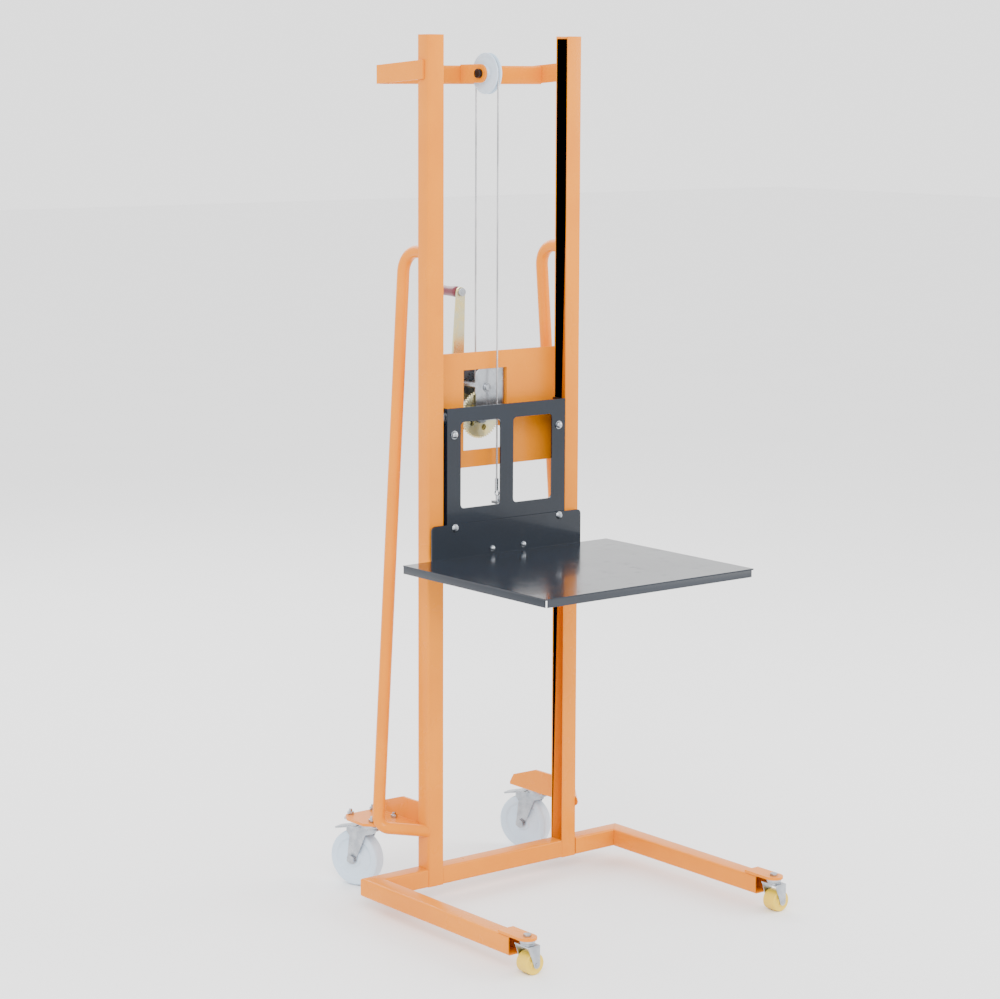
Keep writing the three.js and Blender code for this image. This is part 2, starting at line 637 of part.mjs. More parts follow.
// ---------------------------------------------------------------- push handles
/** The bent bar of a handle, from behind its mast down to the mast's outer face near the floor. */
function handleBar(side, radius) {
  const at = (x, y, z) => new THREE.Vector3(side * x, y, z);
  const start = at(MAST_X, HALF + GAP, HANDLE_TOP_Z);
  const foot = at(HANDLE_FOOT_X, HANDLE_FOOT_Y, HANDLE_FOOT_Z);
  const end = at(MAST_OUTER_X, HANDLE_END_Y, HANDLE_FOOT_Z);
  const past = end.clone().sub(foot).setLength(HANDLE_DIAMETER * 0.8);
  const grip = at(MAST_X, HALF + HANDLE_DEPTH, HANDLE_TOP_Z);
  const path = bentPath([start, grip, foot, end.add(past)], [HANDLE_BEND, HANDLE_FOOT_BEND]);
  return swept(path, radius, 64, 12);
}

function handles() {
  for (const [name, side] of SIDES) {
    const face = block(
      xs(side, MAST_OUTER_X - TUBE, MAST_OUTER_X + GAP),
      [-TUBE, HALF],
      [HANDLE_FOOT_Z - TUBE, HANDLE_FOOT_Z + TUBE],
    );
    const bar = handleBar(side, HANDLE_DIAMETER / 2);
    piece(`handle_${name}`, shaped([bar], [face]), ORANGE);
  }
}

// ---------------------------------------------------------------- head of the mast
function head() {
  const reach = MAST_OUTER_X;
  const crossbar = squareTube("x", -reach, reach, [HEAD_REACH - HALF, HEAD_Z]);
  piece("head_crossbar", crossbar, ORANGE);
  const low = HEAD_Z - HALF;
  const arm = outline([
    [-6, low + HEAD_ARM_RISE],
    [HEAD_REACH, low],
    [HEAD_REACH, low + TUBE],
    [-6, low + TUBE + HEAD_ARM_RISE],
  ]);
  for (const [name, side] of SIDES) {
    const near = MAST_OUTER_X + GAP;
    const [x0, x1] = xs(side, near, near + HEAD_ARM_THICKNESS);
    piece(`head_arm_${name}`, sidePlate(arm, x0, x1), ORANGE);
  }
  sheave();
}

function sheave() {
  const inner = SHEAVE_WIDTH / 2 + 1;
  const outer = inner + SHEAVE_CHEEK_THICKNESS;
  const cheek = new THREE.Shape();
  const back = HEAD_FRONT_Y - GAP;
  cheek.moveTo(back, SHEAVE_Z - HALF);
  cheek.lineTo(back, SHEAVE_Z + HALF - 1);
  cheek.lineTo(SHEAVE_Y, SHEAVE_Z + HALF);
  cheek.absarc(SHEAVE_Y, SHEAVE_Z, HALF, Math.PI / 2, Math.PI * 1.5);
  for (const [name, side] of SIDES) {
    const [x0, x1] = xs(side, inner, outer);
    const hole = rod("x", SHEAVE_AXLE_RADIUS + GAP, 100, [0, SHEAVE_Y, SHEAVE_Z], 20);
    piece(`sheave_cheek_${name}`, shaped([sidePlate(cheek, x0, x1, 10)], [hole]), ORANGE);
  }
  const axle = [
    rod("x", SHEAVE_AXLE_RADIUS, 2 * outer + 10, [0, SHEAVE_Y, SHEAVE_Z], 20),
    rod("x", 10, 8, [-outer - GAP - 4, SHEAVE_Y, SHEAVE_Z], 20),
    hexagon("x", 10, 8, [outer + GAP + 4, SHEAVE_Y, SHEAVE_Z]),
  ];
  piece("sheave_axle", shaped(axle), DARK_STEEL);
  const half = SHEAVE_WIDTH / 2;
  const groove = SHEAVE_ROPE_RADIUS - ROPE_DIAMETER / 2 - GAP;
  const rim = 6.5;
  const wheel = [
    [SHEAVE_AXLE_RADIUS + GAP, -half],
    [14, -half],
    [18, -rim],
    [SHEAVE_RADIUS, -rim],
    [SHEAVE_RADIUS, -rim + 2.5],
    [groove, -2.6],
    [groove, 2.6],
    [SHEAVE_RADIUS, rim - 2.5],
    [SHEAVE_RADIUS, rim],
    [18, rim],
    [14, half],
    [SHEAVE_AXLE_RADIUS + GAP, half],
    [SHEAVE_AXLE_RADIUS + GAP, -half],
  ];
  piece("sheave", turned("x", wheel, [0, SHEAVE_Y, SHEAVE_Z], 32), NYLON);
}

// ---------------------------------------------------------------- winch panel and winch
function winchPanel() {
  const reach = MAST_INNER_X + PANEL_LAP;
  const sheet = outline([
    [-reach, PANEL_BOTTOM],
    [reach, PANEL_BOTTOM],
    [reach, PANEL_TOP],
    [-reach, PANEL_TOP],
  ]);
  sheet.holes.push(
    outline([
      [WINDOW.left, WINDOW.bottom],
      [WINDOW.left, WINDOW.top],
      [WINDOW.right, WINDOW.top],
      [WINDOW.right, WINDOW.bottom],
    ]),
  );
  const tab = block(
    [WINDOW.right, WINDOW.right + TAB_THICKNESS],
    [PANEL_FRONT_Y, WINCH_REAR_Y],
    [WINCH_CHEEK_TOP - WINCH_CHEEK_HEIGHT, WINDOW.top],
  );
  const panel = uprightPlate(sheet, PANEL_FRONT_Y, PANEL_FRONT_Y + PANEL_THICKNESS);
  piece("winch_panel", shaped([panel, tab]), ORANGE);
}

function winch() {
  const right = WINDOW.right - GAP;
  const left = right - WINCH_CHEEK_SPAN;
  const low = WINCH_CHEEK_TOP - WINCH_CHEEK_HEIGHT;
  const t = WINCH_CHEEK_THICKNESS;
  const cheek = new THREE.Shape();
  const corner = 14;
  cheek.moveTo(right, low + 16);
  cheek.lineTo(right, WINCH_CHEEK_TOP);
  cheek.lineTo(left + corner, WINCH_CHEEK_TOP);
  cheek.absarc(left + corner, WINCH_CHEEK_TOP - corner, corner, Math.PI / 2, Math.PI);
  cheek.lineTo(left, low + 50);
  cheek.lineTo(DRUM_X - 16, DRUM_Z - 10);
  cheek.absarc(DRUM_X, DRUM_Z, 18, Math.PI * 1.2, Math.PI * 1.75);
  const drumHole = rod("y", SHAFT_RADIUS + GAP, 300, [DRUM_X, 60, DRUM_Z], 16);
  const shaftHole = rod("y", SHAFT_RADIUS + GAP, 300, [PINION_X, 60, PINION_Z], 16);
  const frame = shaped(
    [
      uprightPlate(cheek, WINCH_CHEEK_FRONT_Y, WINCH_CHEEK_FRONT_Y + t, 5),
      uprightPlate(cheek, WINCH_REAR_Y - t, WINCH_REAR_Y, 5),
      block(
        [right - t, right],
        [WINCH_CHEEK_FRONT_Y + OVERLAP, WINCH_REAR_Y - OVERLAP],
        [low + 17, WINCH_CHEEK_TOP - OVERLAP],
      ),
    ],
    [drumHole, shaftHole],
  );
  piece("winch_frame", frame, ZINC);
  const gearFront = WINCH_CHEEK_FRONT_Y + t + 3;
  winchDrum(gearFront);
  drumAxle();
  ratchet();
  crank(gearFront);
}

/** Rope drum with its gear: a core, two flanges and a toothed wheel with five round openings. */
function winchDrum(gearFront) {
  const flange = 2.5;
  const bore = SHAFT_RADIUS + GAP;
  const front = gearFront + GEAR_WIDTH + 4;
  const rear = WINCH_REAR_Y - WINCH_CHEEK_THICKNESS - 1;
  const profile = [
    [bore, gearFront + GEAR_WIDTH - OVERLAP],
    [SHAFT_RADIUS + 5, gearFront + GEAR_WIDTH - OVERLAP],
    [SHAFT_RADIUS + 5, front],
    [DRUM_FLANGE_RADIUS, front],
    [DRUM_FLANGE_RADIUS, front + flange],
    [DRUM_RADIUS, front + flange],
    [DRUM_RADIUS, rear - flange],
    [DRUM_FLANGE_RADIUS, rear - flange],
    [DRUM_FLANGE_RADIUS, rear],
    [bore, rear],
    [bore, gearFront + GEAR_WIDTH - OVERLAP],
  ];
  const gear = extruded(gearOutline(GEAR_TEETH, 0), 0, GEAR_WIDTH);
  gear.rotateX(Math.PI / 2).translate(DRUM_X, gearFront + GEAR_WIDTH, DRUM_Z);
  const axleHole = rod("y", bore, 4 * GEAR_WIDTH, [DRUM_X, gearFront, DRUM_Z], 24);
  const reach = GEAR_RADIUS * 0.58;
  const holes = [0, 1, 2, 3, 4].map((i) => {
    const angle = (i * Math.PI * 2) / 5;
    const place = [DRUM_X + reach * Math.cos(angle), gearFront, DRUM_Z + reach * Math.sin(angle)];
    return rod("y", 6.5, 4 * GEAR_WIDTH, place, 10);
  });
  const wheel = shaped([gear], [axleHole, ...holes]);
  const drum = shaped([turned("y", profile, [DRUM_X, 0, DRUM_Z], 24), wheel]);
  piece("winch_drum", drum, YELLOW_ZINC);
  const winding = ringProfile(
    DRUM_RADIUS + GAP,
    DRUM_ROPE_RADIUS - ROPE_DIAMETER / 2 - GAP,
    front + flange + GAP,
    rear - flange - GAP,
  );
  piece("rope_winding", turned("y", winding, [DRUM_X, 0, DRUM_Z], 32), STEEL_ROPE);
}

/** Ratchet wheel on the pinion shaft, and the pawl beside it, lifted clear of the teeth. */
function ratchet() {
  const front = WINCH_REAR_Y + 2.5;
  const points = [];
  for (let i = 0; i < RATCHET_TEETH; i++) {
    const angle = (i / RATCHET_TEETH) * Math.PI * 2;
    const step = (Math.PI * 2) / RATCHET_TEETH;
    points.push([RATCHET_RADIUS * Math.cos(angle), RATCHET_RADIUS * Math.sin(angle)]);
    const root = RATCHET_RADIUS - 4;
    points.push([root * Math.cos(angle + step * 0.12), root * Math.sin(angle + step * 0.12)]);
  }
  const wheel = extruded(outline(points), 0, RATCHET_WIDTH);
  wheel.rotateX(Math.PI / 2).translate(PINION_X, front + RATCHET_WIDTH, PINION_Z);
  const bore = rod("y", SHAFT_RADIUS + GAP, 60, [PINION_X, front, PINION_Z], 16);
  piece("ratchet_wheel", shaped([wheel], [bore]), YELLOW_ZINC);
  const [x, z] = [PINION_X + PAWL_OFFSET.x, PINION_Z + PAWL_OFFSET.z];
  const pawl = new THREE.Shape();
  pawl.absarc(x, z, 6, -Math.PI / 2, Math.PI / 2);
  pawl.lineTo(PINION_X + 2, PINION_Z + RATCHET_RADIUS + 8);
  pawl.lineTo(PINION_X + 1, PINION_Z + RATCHET_RADIUS + 1);
  const parts = [
    uprightPlate(pawl, front, front + RATCHET_WIDTH, 6),
    rod("y", 3, RATCHET_WIDTH + 4, [x, front + RATCHET_WIDTH / 2, z], 12),
  ];
  piece("ratchet_pawl", shaped(parts), ZINC);
}

function drumAxle() {
  const front = WINCH_CHEEK_FRONT_Y - 5;
  const rear = WINCH_REAR_Y + 5;
  const axle = [
    rod("y", SHAFT_RADIUS, rear - front, [DRUM_X, (front + rear) / 2, DRUM_Z], 16),
    hexagon("y", 11, 4, [DRUM_X, WINCH_CHEEK_FRONT_Y - GAP - 2, DRUM_Z]),
    hexagon("y", 11, 4, [DRUM_X, WINCH_REAR_Y + GAP + 2, DRUM_Z]),
  ];
  piece("drum_axle", shaped(axle), ZINC);
}

/** Pinion shaft, crank arm, grip pin and grip. */
function crank(gearFront) {
  const [x, z] = [PINION_X, PINION_Z];
  const shaftFront = WINCH_CHEEK_FRONT_Y - 6;
  const shaftRear = CRANK_Y + CRANK_THICKNESS + 8;
  const mesh = Math.PI / 2 - PINION_LEAN;
  const gearStep = (Math.PI * 2) / GEAR_TEETH;
  const phase = (mesh / gearStep) % 1;
  const pinionStep = (Math.PI * 2) / PINION_TEETH;
  const turn = mesh + Math.PI + pinionStep * (0.5 + phase);
  const pinion = extruded(gearOutline(PINION_TEETH, turn), 0, GEAR_WIDTH);
  pinion.rotateX(Math.PI / 2).translate(x, gearFront + GEAR_WIDTH, z);
  const shaft = [
    rod("y", SHAFT_RADIUS, shaftRear - shaftFront, [x, (shaftFront + shaftRear) / 2, z], 16),
    pinion,
    rod("y", 10, 2, [x, WINCH_CHEEK_FRONT_Y - GAP - 1, z], 20),
    hexagon("y", 11, 7, [x, CRANK_Y + CRANK_THICKNESS + GAP + 3.5, z]),
  ];
  piece("pinion_shaft", shaped(shaft), ZINC);

  const lean = THREE.MathUtils.degToRad(CRANK_LEAN_DEGREES);
  const topX = x + CRANK_LENGTH * Math.sin(lean);
  const topZ = z + CRANK_LENGTH * Math.cos(lean);
  const arm = new THREE.Shape();
  const [foot, tip] = [17, 11];
  arm.absarc(0, 0, foot, Math.PI, Math.PI * 2);
  arm.absarc(0, CRANK_LENGTH, tip, 0, Math.PI);
  const armBody = uprightPlate(arm, 0, CRANK_THICKNESS, 10).rotateY(lean).translate(x, CRANK_Y, z);
  const shaftHole = rod("y", SHAFT_RADIUS + GAP, 300, [x, 60, z], 16);
  const pinHole = rod("y", 4 + GAP, 300, [topX, 60, topZ], 16);
  piece("crank_arm", shaped([armBody], [shaftHole, pinHole]), YELLOW_ZINC);

  const gripFront = CRANK_Y + CRANK_THICKNESS + 4;
  const pin = [
    rod("y", 4, GRIP_LENGTH + 22, [topX, CRANK_Y - 6 + (GRIP_LENGTH + 22) / 2, topZ], 16),
    rod("y", 9, 5, [topX, CRANK_Y - GAP - 2.5, topZ], 20),
    rod("y", 8, 3, [topX, gripFront + GRIP_LENGTH + 2.5, topZ], 20),
  ];
  piece("crank_pin", shaped(pin), ZINC);
  const grip = [
    [4 + GAP, 0],
    [GRIP_RADIUS - 2, 0],
    [GRIP_RADIUS, 5],
    [GRIP_RADIUS - 1, GRIP_LENGTH * 0.5],
    [GRIP_RADIUS, GRIP_LENGTH - 6],
    [GRIP_RADIUS - 3, GRIP_LENGTH],
    [4 + GAP, GRIP_LENGTH],
    [4 + GAP, 0],
  ];
  piece("crank_grip", turned("y", grip, [topX, gripFront, topZ], 20), GRIP);
}

// ---------------------------------------------------------------- lifting rope
function rope() {
  const radius = ROPE_DIAMETER / 2;
  const drumSide = DRUM_X + DRUM_ROPE_RADIUS;
  const climb = new THREE.LineCurve3(
    new THREE.Vector3(drumSide, ROPE_REAR_Y, DRUM_Z),
    new THREE.Vector3(0, ROPE_REAR_Y, SHEAVE_Z + OVERLAP),
  );
  const section = Array.from({ length: 9 }, (_, i) => {
    const angle = (i / 8) * Math.PI * 2;
    return [SHEAVE_ROPE_RADIUS + radius * Math.cos(angle), radius * Math.sin(angle)];
  });
  const loop = turned("x", section, [0, SHEAVE_Y, SHEAVE_Z], 48);
  const reach = SHEAVE_RADIUS + ROPE_DIAMETER;
  const lower = block([-9, 9], [SHEAVE_Y - reach, SHEAVE_Y + reach], [SHEAVE_Z - 2 * reach, SHEAVE_Z]);
  const over = shaped([loop], [lower]);
  piece("rope_rear", shaped([over, swept(climb, radius, 1, 8)]), STEEL_ROPE);
  const top = SHEAVE_Z - GAP;
  const bottom = FERRULE_TOP + GAP;
  const place = [0, ROPE_FRONT_Y, (top + bottom) / 2];
  piece("rope_front", rod("z", radius, top - bottom, place, 8), STEEL_ROPE);
}

// ---------------------------------------------------------------- carriage
function carriage() {
  const halfWidth = CARRIAGE_WIDTH / 2;
  const face = outline([
    [-halfWidth, CARRIAGE_BOTTOM],
    [halfWidth, CARRIAGE_BOTTOM],
    [halfWidth, CARRIAGE_TOP],
    [-halfWidth, CARRIAGE_TOP],
  ]);
  for (const side of [-1, 1]) {
    const [x0, x1] = xs(side, CARRIAGE_WINDOW.inner, halfWidth - CARRIAGE_WINDOW.margin);
    face.holes.push(roundedRectangle(x0, x1, CARRIAGE_WINDOW.bottom, CARRIAGE_WINDOW.top, 9));
  }
  const flanges = [-1, 1].map((side) =>
    block(
      xs(side, halfWidth - CARRIAGE_SHEET, halfWidth),
      [CARRIAGE_FRONT_Y, CARRIAGE_FLANGE_REAR_Y],
      [CARRIAGE_BOTTOM, CARRIAGE_TOP],
    ),
  );
  const lug = block([-13, 13], [CARRIAGE_FRONT_Y + 1, CARRIAGE_FLANGE_REAR_Y], [ANCHOR_Z - 5, ANCHOR_Z]);
  const axleHoles = ROLLER_LEVELS.map(([, z]) =>
    rod("x", ROLLER_AXLE_RADIUS + GAP, 2 * CARRIAGE_WIDTH, [0, 0, z], 16),
  );
  const eyeHole = rod("z", 4 + GAP, 40, [0, ROPE_FRONT_Y - 4, ANCHOR_Z], 12);
  const sheet = uprightPlate(face, CARRIAGE_FRONT_Y, CARRIAGE_BACK_Y, 4);
  const frame = shaped([sheet, ...flanges, lug], [...platformBoltHoles(), ...axleHoles, eyeHole]);
  piece("carriage_frame", frame, BLACK);
  ropeAnchor();
  guideRollers();
  platform();
  platformBolts();
}

/** Holes for the platform bolts. */
const platformBoltHoles = () =>
  [-CLAMP_BOLT_X, CLAMP_BOLT_X].map((x) =>
    rod("y", PLATFORM_BOLT_RADIUS + GAP, 60, [x, UPSTAND_FRONT_Y, PLATFORM_BOLT_Z], 14),
  );

/** Eye bolt, thimble and ferrule at the rope's end. */
function ropeAnchor() {
  const y = ROPE_FRONT_Y - 4;
  const ring = new THREE.TorusGeometry(6, 2, 6, 16).rotateY(Math.PI / 2);
  ring.translate(0, y + 3, ANCHOR_Z + 16);
  const parts = [
    ring,
    rod("z", 4, 24, [0, y, ANCHOR_Z - 2], 12),
    rod("z", 3, 10, [0, y + 3, ANCHOR_Z + 6], 12),
    hexagon("z", 7, 5, [0, y, ANCHOR_Z - 5 - GAP - 2.5]),
    rod("z", 4.2, FERRULE_TOP - ANCHOR_Z - 22, [0, y + 4, (FERRULE_TOP + ANCHOR_Z + 22) / 2], 14),
  ];
  piece("rope_anchor", shaped(parts), ZINC);
}

/** Guide rollers inside the masts, on two through axles that carry the guide discs. */
function guideRollers() {
  const bore = ROLLER_AXLE_RADIUS + GAP;
  const roller = ringProfile(bore, ROLLER_RADIUS, 0, ROLLER_WIDTH);
  const axleEnd = ROLLER_NEAR_X + ROLLER_WIDTH + 4;
  for (const [level, z] of ROLLER_LEVELS) {
    const axle = [rod("x", ROLLER_AXLE_RADIUS, 2 * axleEnd, [0, 0, z], 16)];
    for (const [name, side] of SIDES) {
      const start = side > 0 ? ROLLER_NEAR_X : -ROLLER_NEAR_X - ROLLER_WIDTH;
      piece(`guide_roller_${level}_${name}`, turned("x", roller, [start, 0, z], 24), NYLON);
      const [d0, d1] = xs(side, CARRIAGE_WIDTH / 2 + GAP, MAST_INNER_X - 2 * GAP);
      axle.push(
        rod("x", GUIDE_DISC_RADIUS, d1 - d0, [(d0 + d1) / 2, 0, z], 24),
        rod("x", ROLLER_AXLE_RADIUS + 3, 2, [side * (axleEnd - 2), 0, z], 16),
      );
    }
    piece(`roller_axle_${level}`, shaped(axle), ZINC);
  }
}

/** Folded platform: a sheet with three turned-down rims and a rear upstand. */
function platform() {
  const w = PLATFORM_WIDTH / 2;
  const t = PLATFORM_SHEET;
  const u = UPSTAND_WIDTH / 2;
  const radius = 10;
  const front = PLATFORM_FRONT_Y;
  const under = [PLATFORM_TOP - PLATFORM_RIM, PLATFORM_TOP - t + OVERLAP];
  const upstand = new THREE.Shape();
  upstand.moveTo(-u, PLATFORM_TOP - t + OVERLAP);
  upstand.lineTo(u, PLATFORM_TOP - t + OVERLAP);
  upstand.absarc(u - radius, UPSTAND_TOP - radius, radius, 0, Math.PI / 2);
  upstand.absarc(-u + radius, UPSTAND_TOP - radius, radius, Math.PI / 2, Math.PI);
  const rear = UPSTAND_FRONT_Y + 1;
  const parts = [
    block([-w, w], [front, rear], [PLATFORM_TOP - t, PLATFORM_TOP]),
    block([-w + RIM_NOTCH, w - RIM_NOTCH], [front + OVERLAP, front + t], under),
    block([-w + OVERLAP, -w + t], [front + RIM_NOTCH, rear - OVERLAP], under),
    block([w - t, w - OVERLAP], [front + RIM_NOTCH, rear - OVERLAP], under),
    uprightPlate(upstand, UPSTAND_FRONT_Y, PLATFORM_REAR_Y, 4),
  ];
  piece("platform", shaped(parts, platformBoltHoles()), BLACK);
  for (const [name, side] of SIDES) {
    const high = PLATFORM_TOP - t - GAP;
    const low = high - SUPPORT_DEPTH;
    const bar = outline([
      [UPSTAND_FRONT_Y, low],
      [UPSTAND_FRONT_Y, high],
      [SUPPORT_FRONT_Y, high],
      [SUPPORT_FRONT_Y, high - 12],
      [SUPPORT_FRONT_Y + 40, low],
    ]);
    const [x0, x1] = xs(side, SUPPORT_X - SUPPORT_WIDTH / 2, SUPPORT_X + SUPPORT_WIDTH / 2);
    piece(`platform_support_${name}`, sidePlate(bar, x0, x1), BLACK);
  }
}

/** Domed bolts that clamp the platform's upstand to the carriage, with nuts behind. */
function platformBolts() {
  const headY = UPSTAND_FRONT_Y - GAP;
  const nutY = CARRIAGE_BACK_Y + GAP;
  const radius = PLATFORM_BOLT_RADIUS;
  const dome = [
    [0, -radius],
    [radius * 1.2, -radius * 0.75],
    [radius * 1.8, OVERLAP - GAP],
    [0, OVERLAP - GAP],
  ];
  const [start, end] = [headY - 1, nutY + 9];
  for (const [name, side] of SIDES) {
    const x = side * CLAMP_BOLT_X;
    const bolt = [
      turned("y", dome, [x, headY, PLATFORM_BOLT_Z], 18),
      rod("y", radius, end - start, [x, (start + end) / 2, PLATFORM_BOLT_Z], 14),
      hexagon("y", radius * 1.8, 6, [x, nutY + 3, PLATFORM_BOLT_Z]),
    ];
    piece(`platform_bolt_${name}`, shaped(bolt), ZINC);
  }
}

// ---------------------------------------------------------------- build
masts();
base();
frontCasters();
rearCasters();
handles();
head();
winchPanel();
winch();
rope();
carriage();

// The part's origin is the bottom centre of its bounding box.
const bounds = new THREE.Box3().setFromObject(lift);
const middle = bounds.getCenter(new THREE.Vector3());
lift.position.set(-middle.x, -middle.y, -bounds.min.z);

export default lift;
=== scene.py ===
"""Hand-winch platform lift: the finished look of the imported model, in metres and in its frame."""

import json
import logging
import math
from dataclasses import dataclass, field
from enum import Enum
from typing import Any, Iterable, Sequence

import bmesh
import bpy
from mathutils import Matrix, Vector

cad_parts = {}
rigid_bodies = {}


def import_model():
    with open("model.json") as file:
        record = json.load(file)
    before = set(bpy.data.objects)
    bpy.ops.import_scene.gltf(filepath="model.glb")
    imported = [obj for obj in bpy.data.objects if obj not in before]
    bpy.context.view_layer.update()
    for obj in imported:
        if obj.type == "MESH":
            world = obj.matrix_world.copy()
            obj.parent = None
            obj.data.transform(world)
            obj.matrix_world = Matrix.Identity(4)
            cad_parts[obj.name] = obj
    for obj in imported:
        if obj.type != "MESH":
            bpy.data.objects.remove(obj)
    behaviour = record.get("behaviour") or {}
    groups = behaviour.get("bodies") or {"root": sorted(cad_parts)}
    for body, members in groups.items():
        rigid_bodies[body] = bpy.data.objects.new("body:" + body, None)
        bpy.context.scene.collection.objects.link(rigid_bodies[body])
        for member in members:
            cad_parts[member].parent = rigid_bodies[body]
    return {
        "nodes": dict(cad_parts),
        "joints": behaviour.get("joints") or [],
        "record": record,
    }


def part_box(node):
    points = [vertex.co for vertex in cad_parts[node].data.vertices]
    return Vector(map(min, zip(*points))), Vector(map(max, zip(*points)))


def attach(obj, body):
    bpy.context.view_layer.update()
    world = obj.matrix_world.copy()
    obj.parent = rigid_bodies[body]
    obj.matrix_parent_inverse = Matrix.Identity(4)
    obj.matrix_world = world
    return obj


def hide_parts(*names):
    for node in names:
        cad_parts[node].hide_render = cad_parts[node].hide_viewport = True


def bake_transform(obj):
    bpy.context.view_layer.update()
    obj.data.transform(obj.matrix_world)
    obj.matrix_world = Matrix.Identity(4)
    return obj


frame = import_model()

log = logging.getLogger("lift")
Point = tuple[float, float, float]
Socket = Any
MM = 0.001
SMOOTH_ANGLE = math.radians(40)


# ---------------------------------------------------------------- shader graph
class Signal:
    """A number socket whose operators add Math nodes."""

    def __init__(self, graph: "Graph", socket: Socket) -> None:
        """Wraps a socket of a graph."""
        self.graph = graph
        self.socket = socket

    def _math(self, operation: str, left: Any, right: Any) -> "Signal":
        """Adds a Math node.

        Args:
            operation: the node's operation.
            left: its first value or signal.
            right: its second value or signal.

        Returns:
            The node's result.
        """
        return Signal(
            self.graph,
            self.graph.node("ShaderNodeMath", {"operation": operation}, {0: left, 1: right}).outputs[0],
        )

    def __add__(self, other: Any) -> "Signal":
        """Sum."""
        return self._math("ADD", self, other)

    def __sub__(self, other: Any) -> "Signal":
        """Difference."""
        return self._math("SUBTRACT", self, other)

    def __rsub__(self, other: Any) -> "Signal":
        """Reflected difference."""
        return self._math("SUBTRACT", other, self)

    def __mul__(self, other: Any) -> "Signal":
        """Product."""
        return self._math("MULTIPLY", self, other)

    __radd__ = __add__
    __rmul__ = __mul__

    def ramp(self, low: float, high: float) -> "Signal":
        """A smooth step from 0 at low to 1 at high.

        Args:
            low: the value that gives 0.
            high: the value that gives 1.

        Returns:
            The stepped signal.
        """
        made = self.graph.node(
            "ShaderNodeMapRange",
            {"interpolation_type": "SMOOTHSTEP"},
            {"Value": self, "From Min": low, "From Max": high},
        )
        return Signal(self.graph, made.outputs["Result"])


class Graph:
    """The node tree of one material, ending in a Principled shader."""

    def __init__(self, name: str) -> None:
        """Makes the material with its shader and output."""
        self.material = bpy.data.materials.new(name)
        self.material.use_nodes = True
        self.tree = self.material.node_tree
        self.tree.nodes.clear()
        self.shader = self.node("ShaderNodeBsdfPrincipled")
        output = self.node("ShaderNodeOutputMaterial")
        self.tree.links.new(self.shader.outputs[0], output.inputs["Surface"])
        self.place = self.node("ShaderNodeTexCoord").outputs["Object"]

    def node(self, kind: str, settings: dict | None = None, sockets: dict | None = None) -> Any:
        """Adds a node.

        Args:
            kind: the node's type.
            settings: properties, set first.
            sockets: values or links by socket name or number.

        Returns:
            The node.
        """
        made = self.tree.nodes.new(kind)
        for key, value in (settings or {}).items():
            setattr(made, key, value)
        for key, value in (sockets or {}).items():
            self.feed(made.inputs[key], value)
        return made

    def feed(self, socket: Socket, value: Any) -> None:
        """Links a signal or socket, or sets a plain value."""
        if isinstance(value, Signal):
            self.tree.links.new(value.socket, socket)
        elif isinstance(value, bpy.types.NodeSocket):
            self.tree.links.new(value, socket)
        else:
            socket.default_value = value

    def noise(self, scale: float, detail: float = 3.0, stretch: Point = (1, 1, 1)) -> Signal:
        """Noise over the object's own coordinates.

        Args:
            scale: cells in a metre.
            detail: octaves.
            stretch: how the coordinates are scaled along each axis.

        Returns:
            The noise, about 0.5 on average.
        """
        mapped = self.node("ShaderNodeMapping", None, {"Vector": self.place, "Scale": stretch})
        made = self.node(
            "ShaderNodeTexNoise",
            None,
            {"Vector": mapped.outputs[0], "Scale": scale, "Detail": detail},
        )
        return Signal(self, made.outputs[0])

    def mix(self, amount: Signal, low: Sequence[float], high: Sequence[float]) -> Socket:
        """Mixes two colours by a signal."""
        made = self.node("ShaderNodeMix", {"data_type": "RGBA"}, {0: amount})
        made.inputs[6].default_value = (*low, 1)
        made.inputs[7].default_value = (*high, 1)
        return made.outputs[2]

    def bump(self, height: Signal, strength: float, distance: float) -> None:
        """Feeds a Bump node to the shader's Normal."""
        made = self.node(
            "ShaderNodeBump", None, {"Height": height, "Strength": strength, "Distance": distance}
        )
        self.feed(self.shader.inputs["Normal"], made.outputs[0])

    def set(self, **values: Any) -> None:
        """Sets or links the shader's sockets, named with _ for a space."""
        for key, value in values.items():
            self.feed(self.shader.inputs[key.replace("_", " ")], value)


class Texture(Enum):
    """What the surface of a finish is like up close."""

    ORANGE_PEEL = "orange peel"
    PLATED = "plated"
    MOULDED = "moulded"
    STRANDED = "stranded"


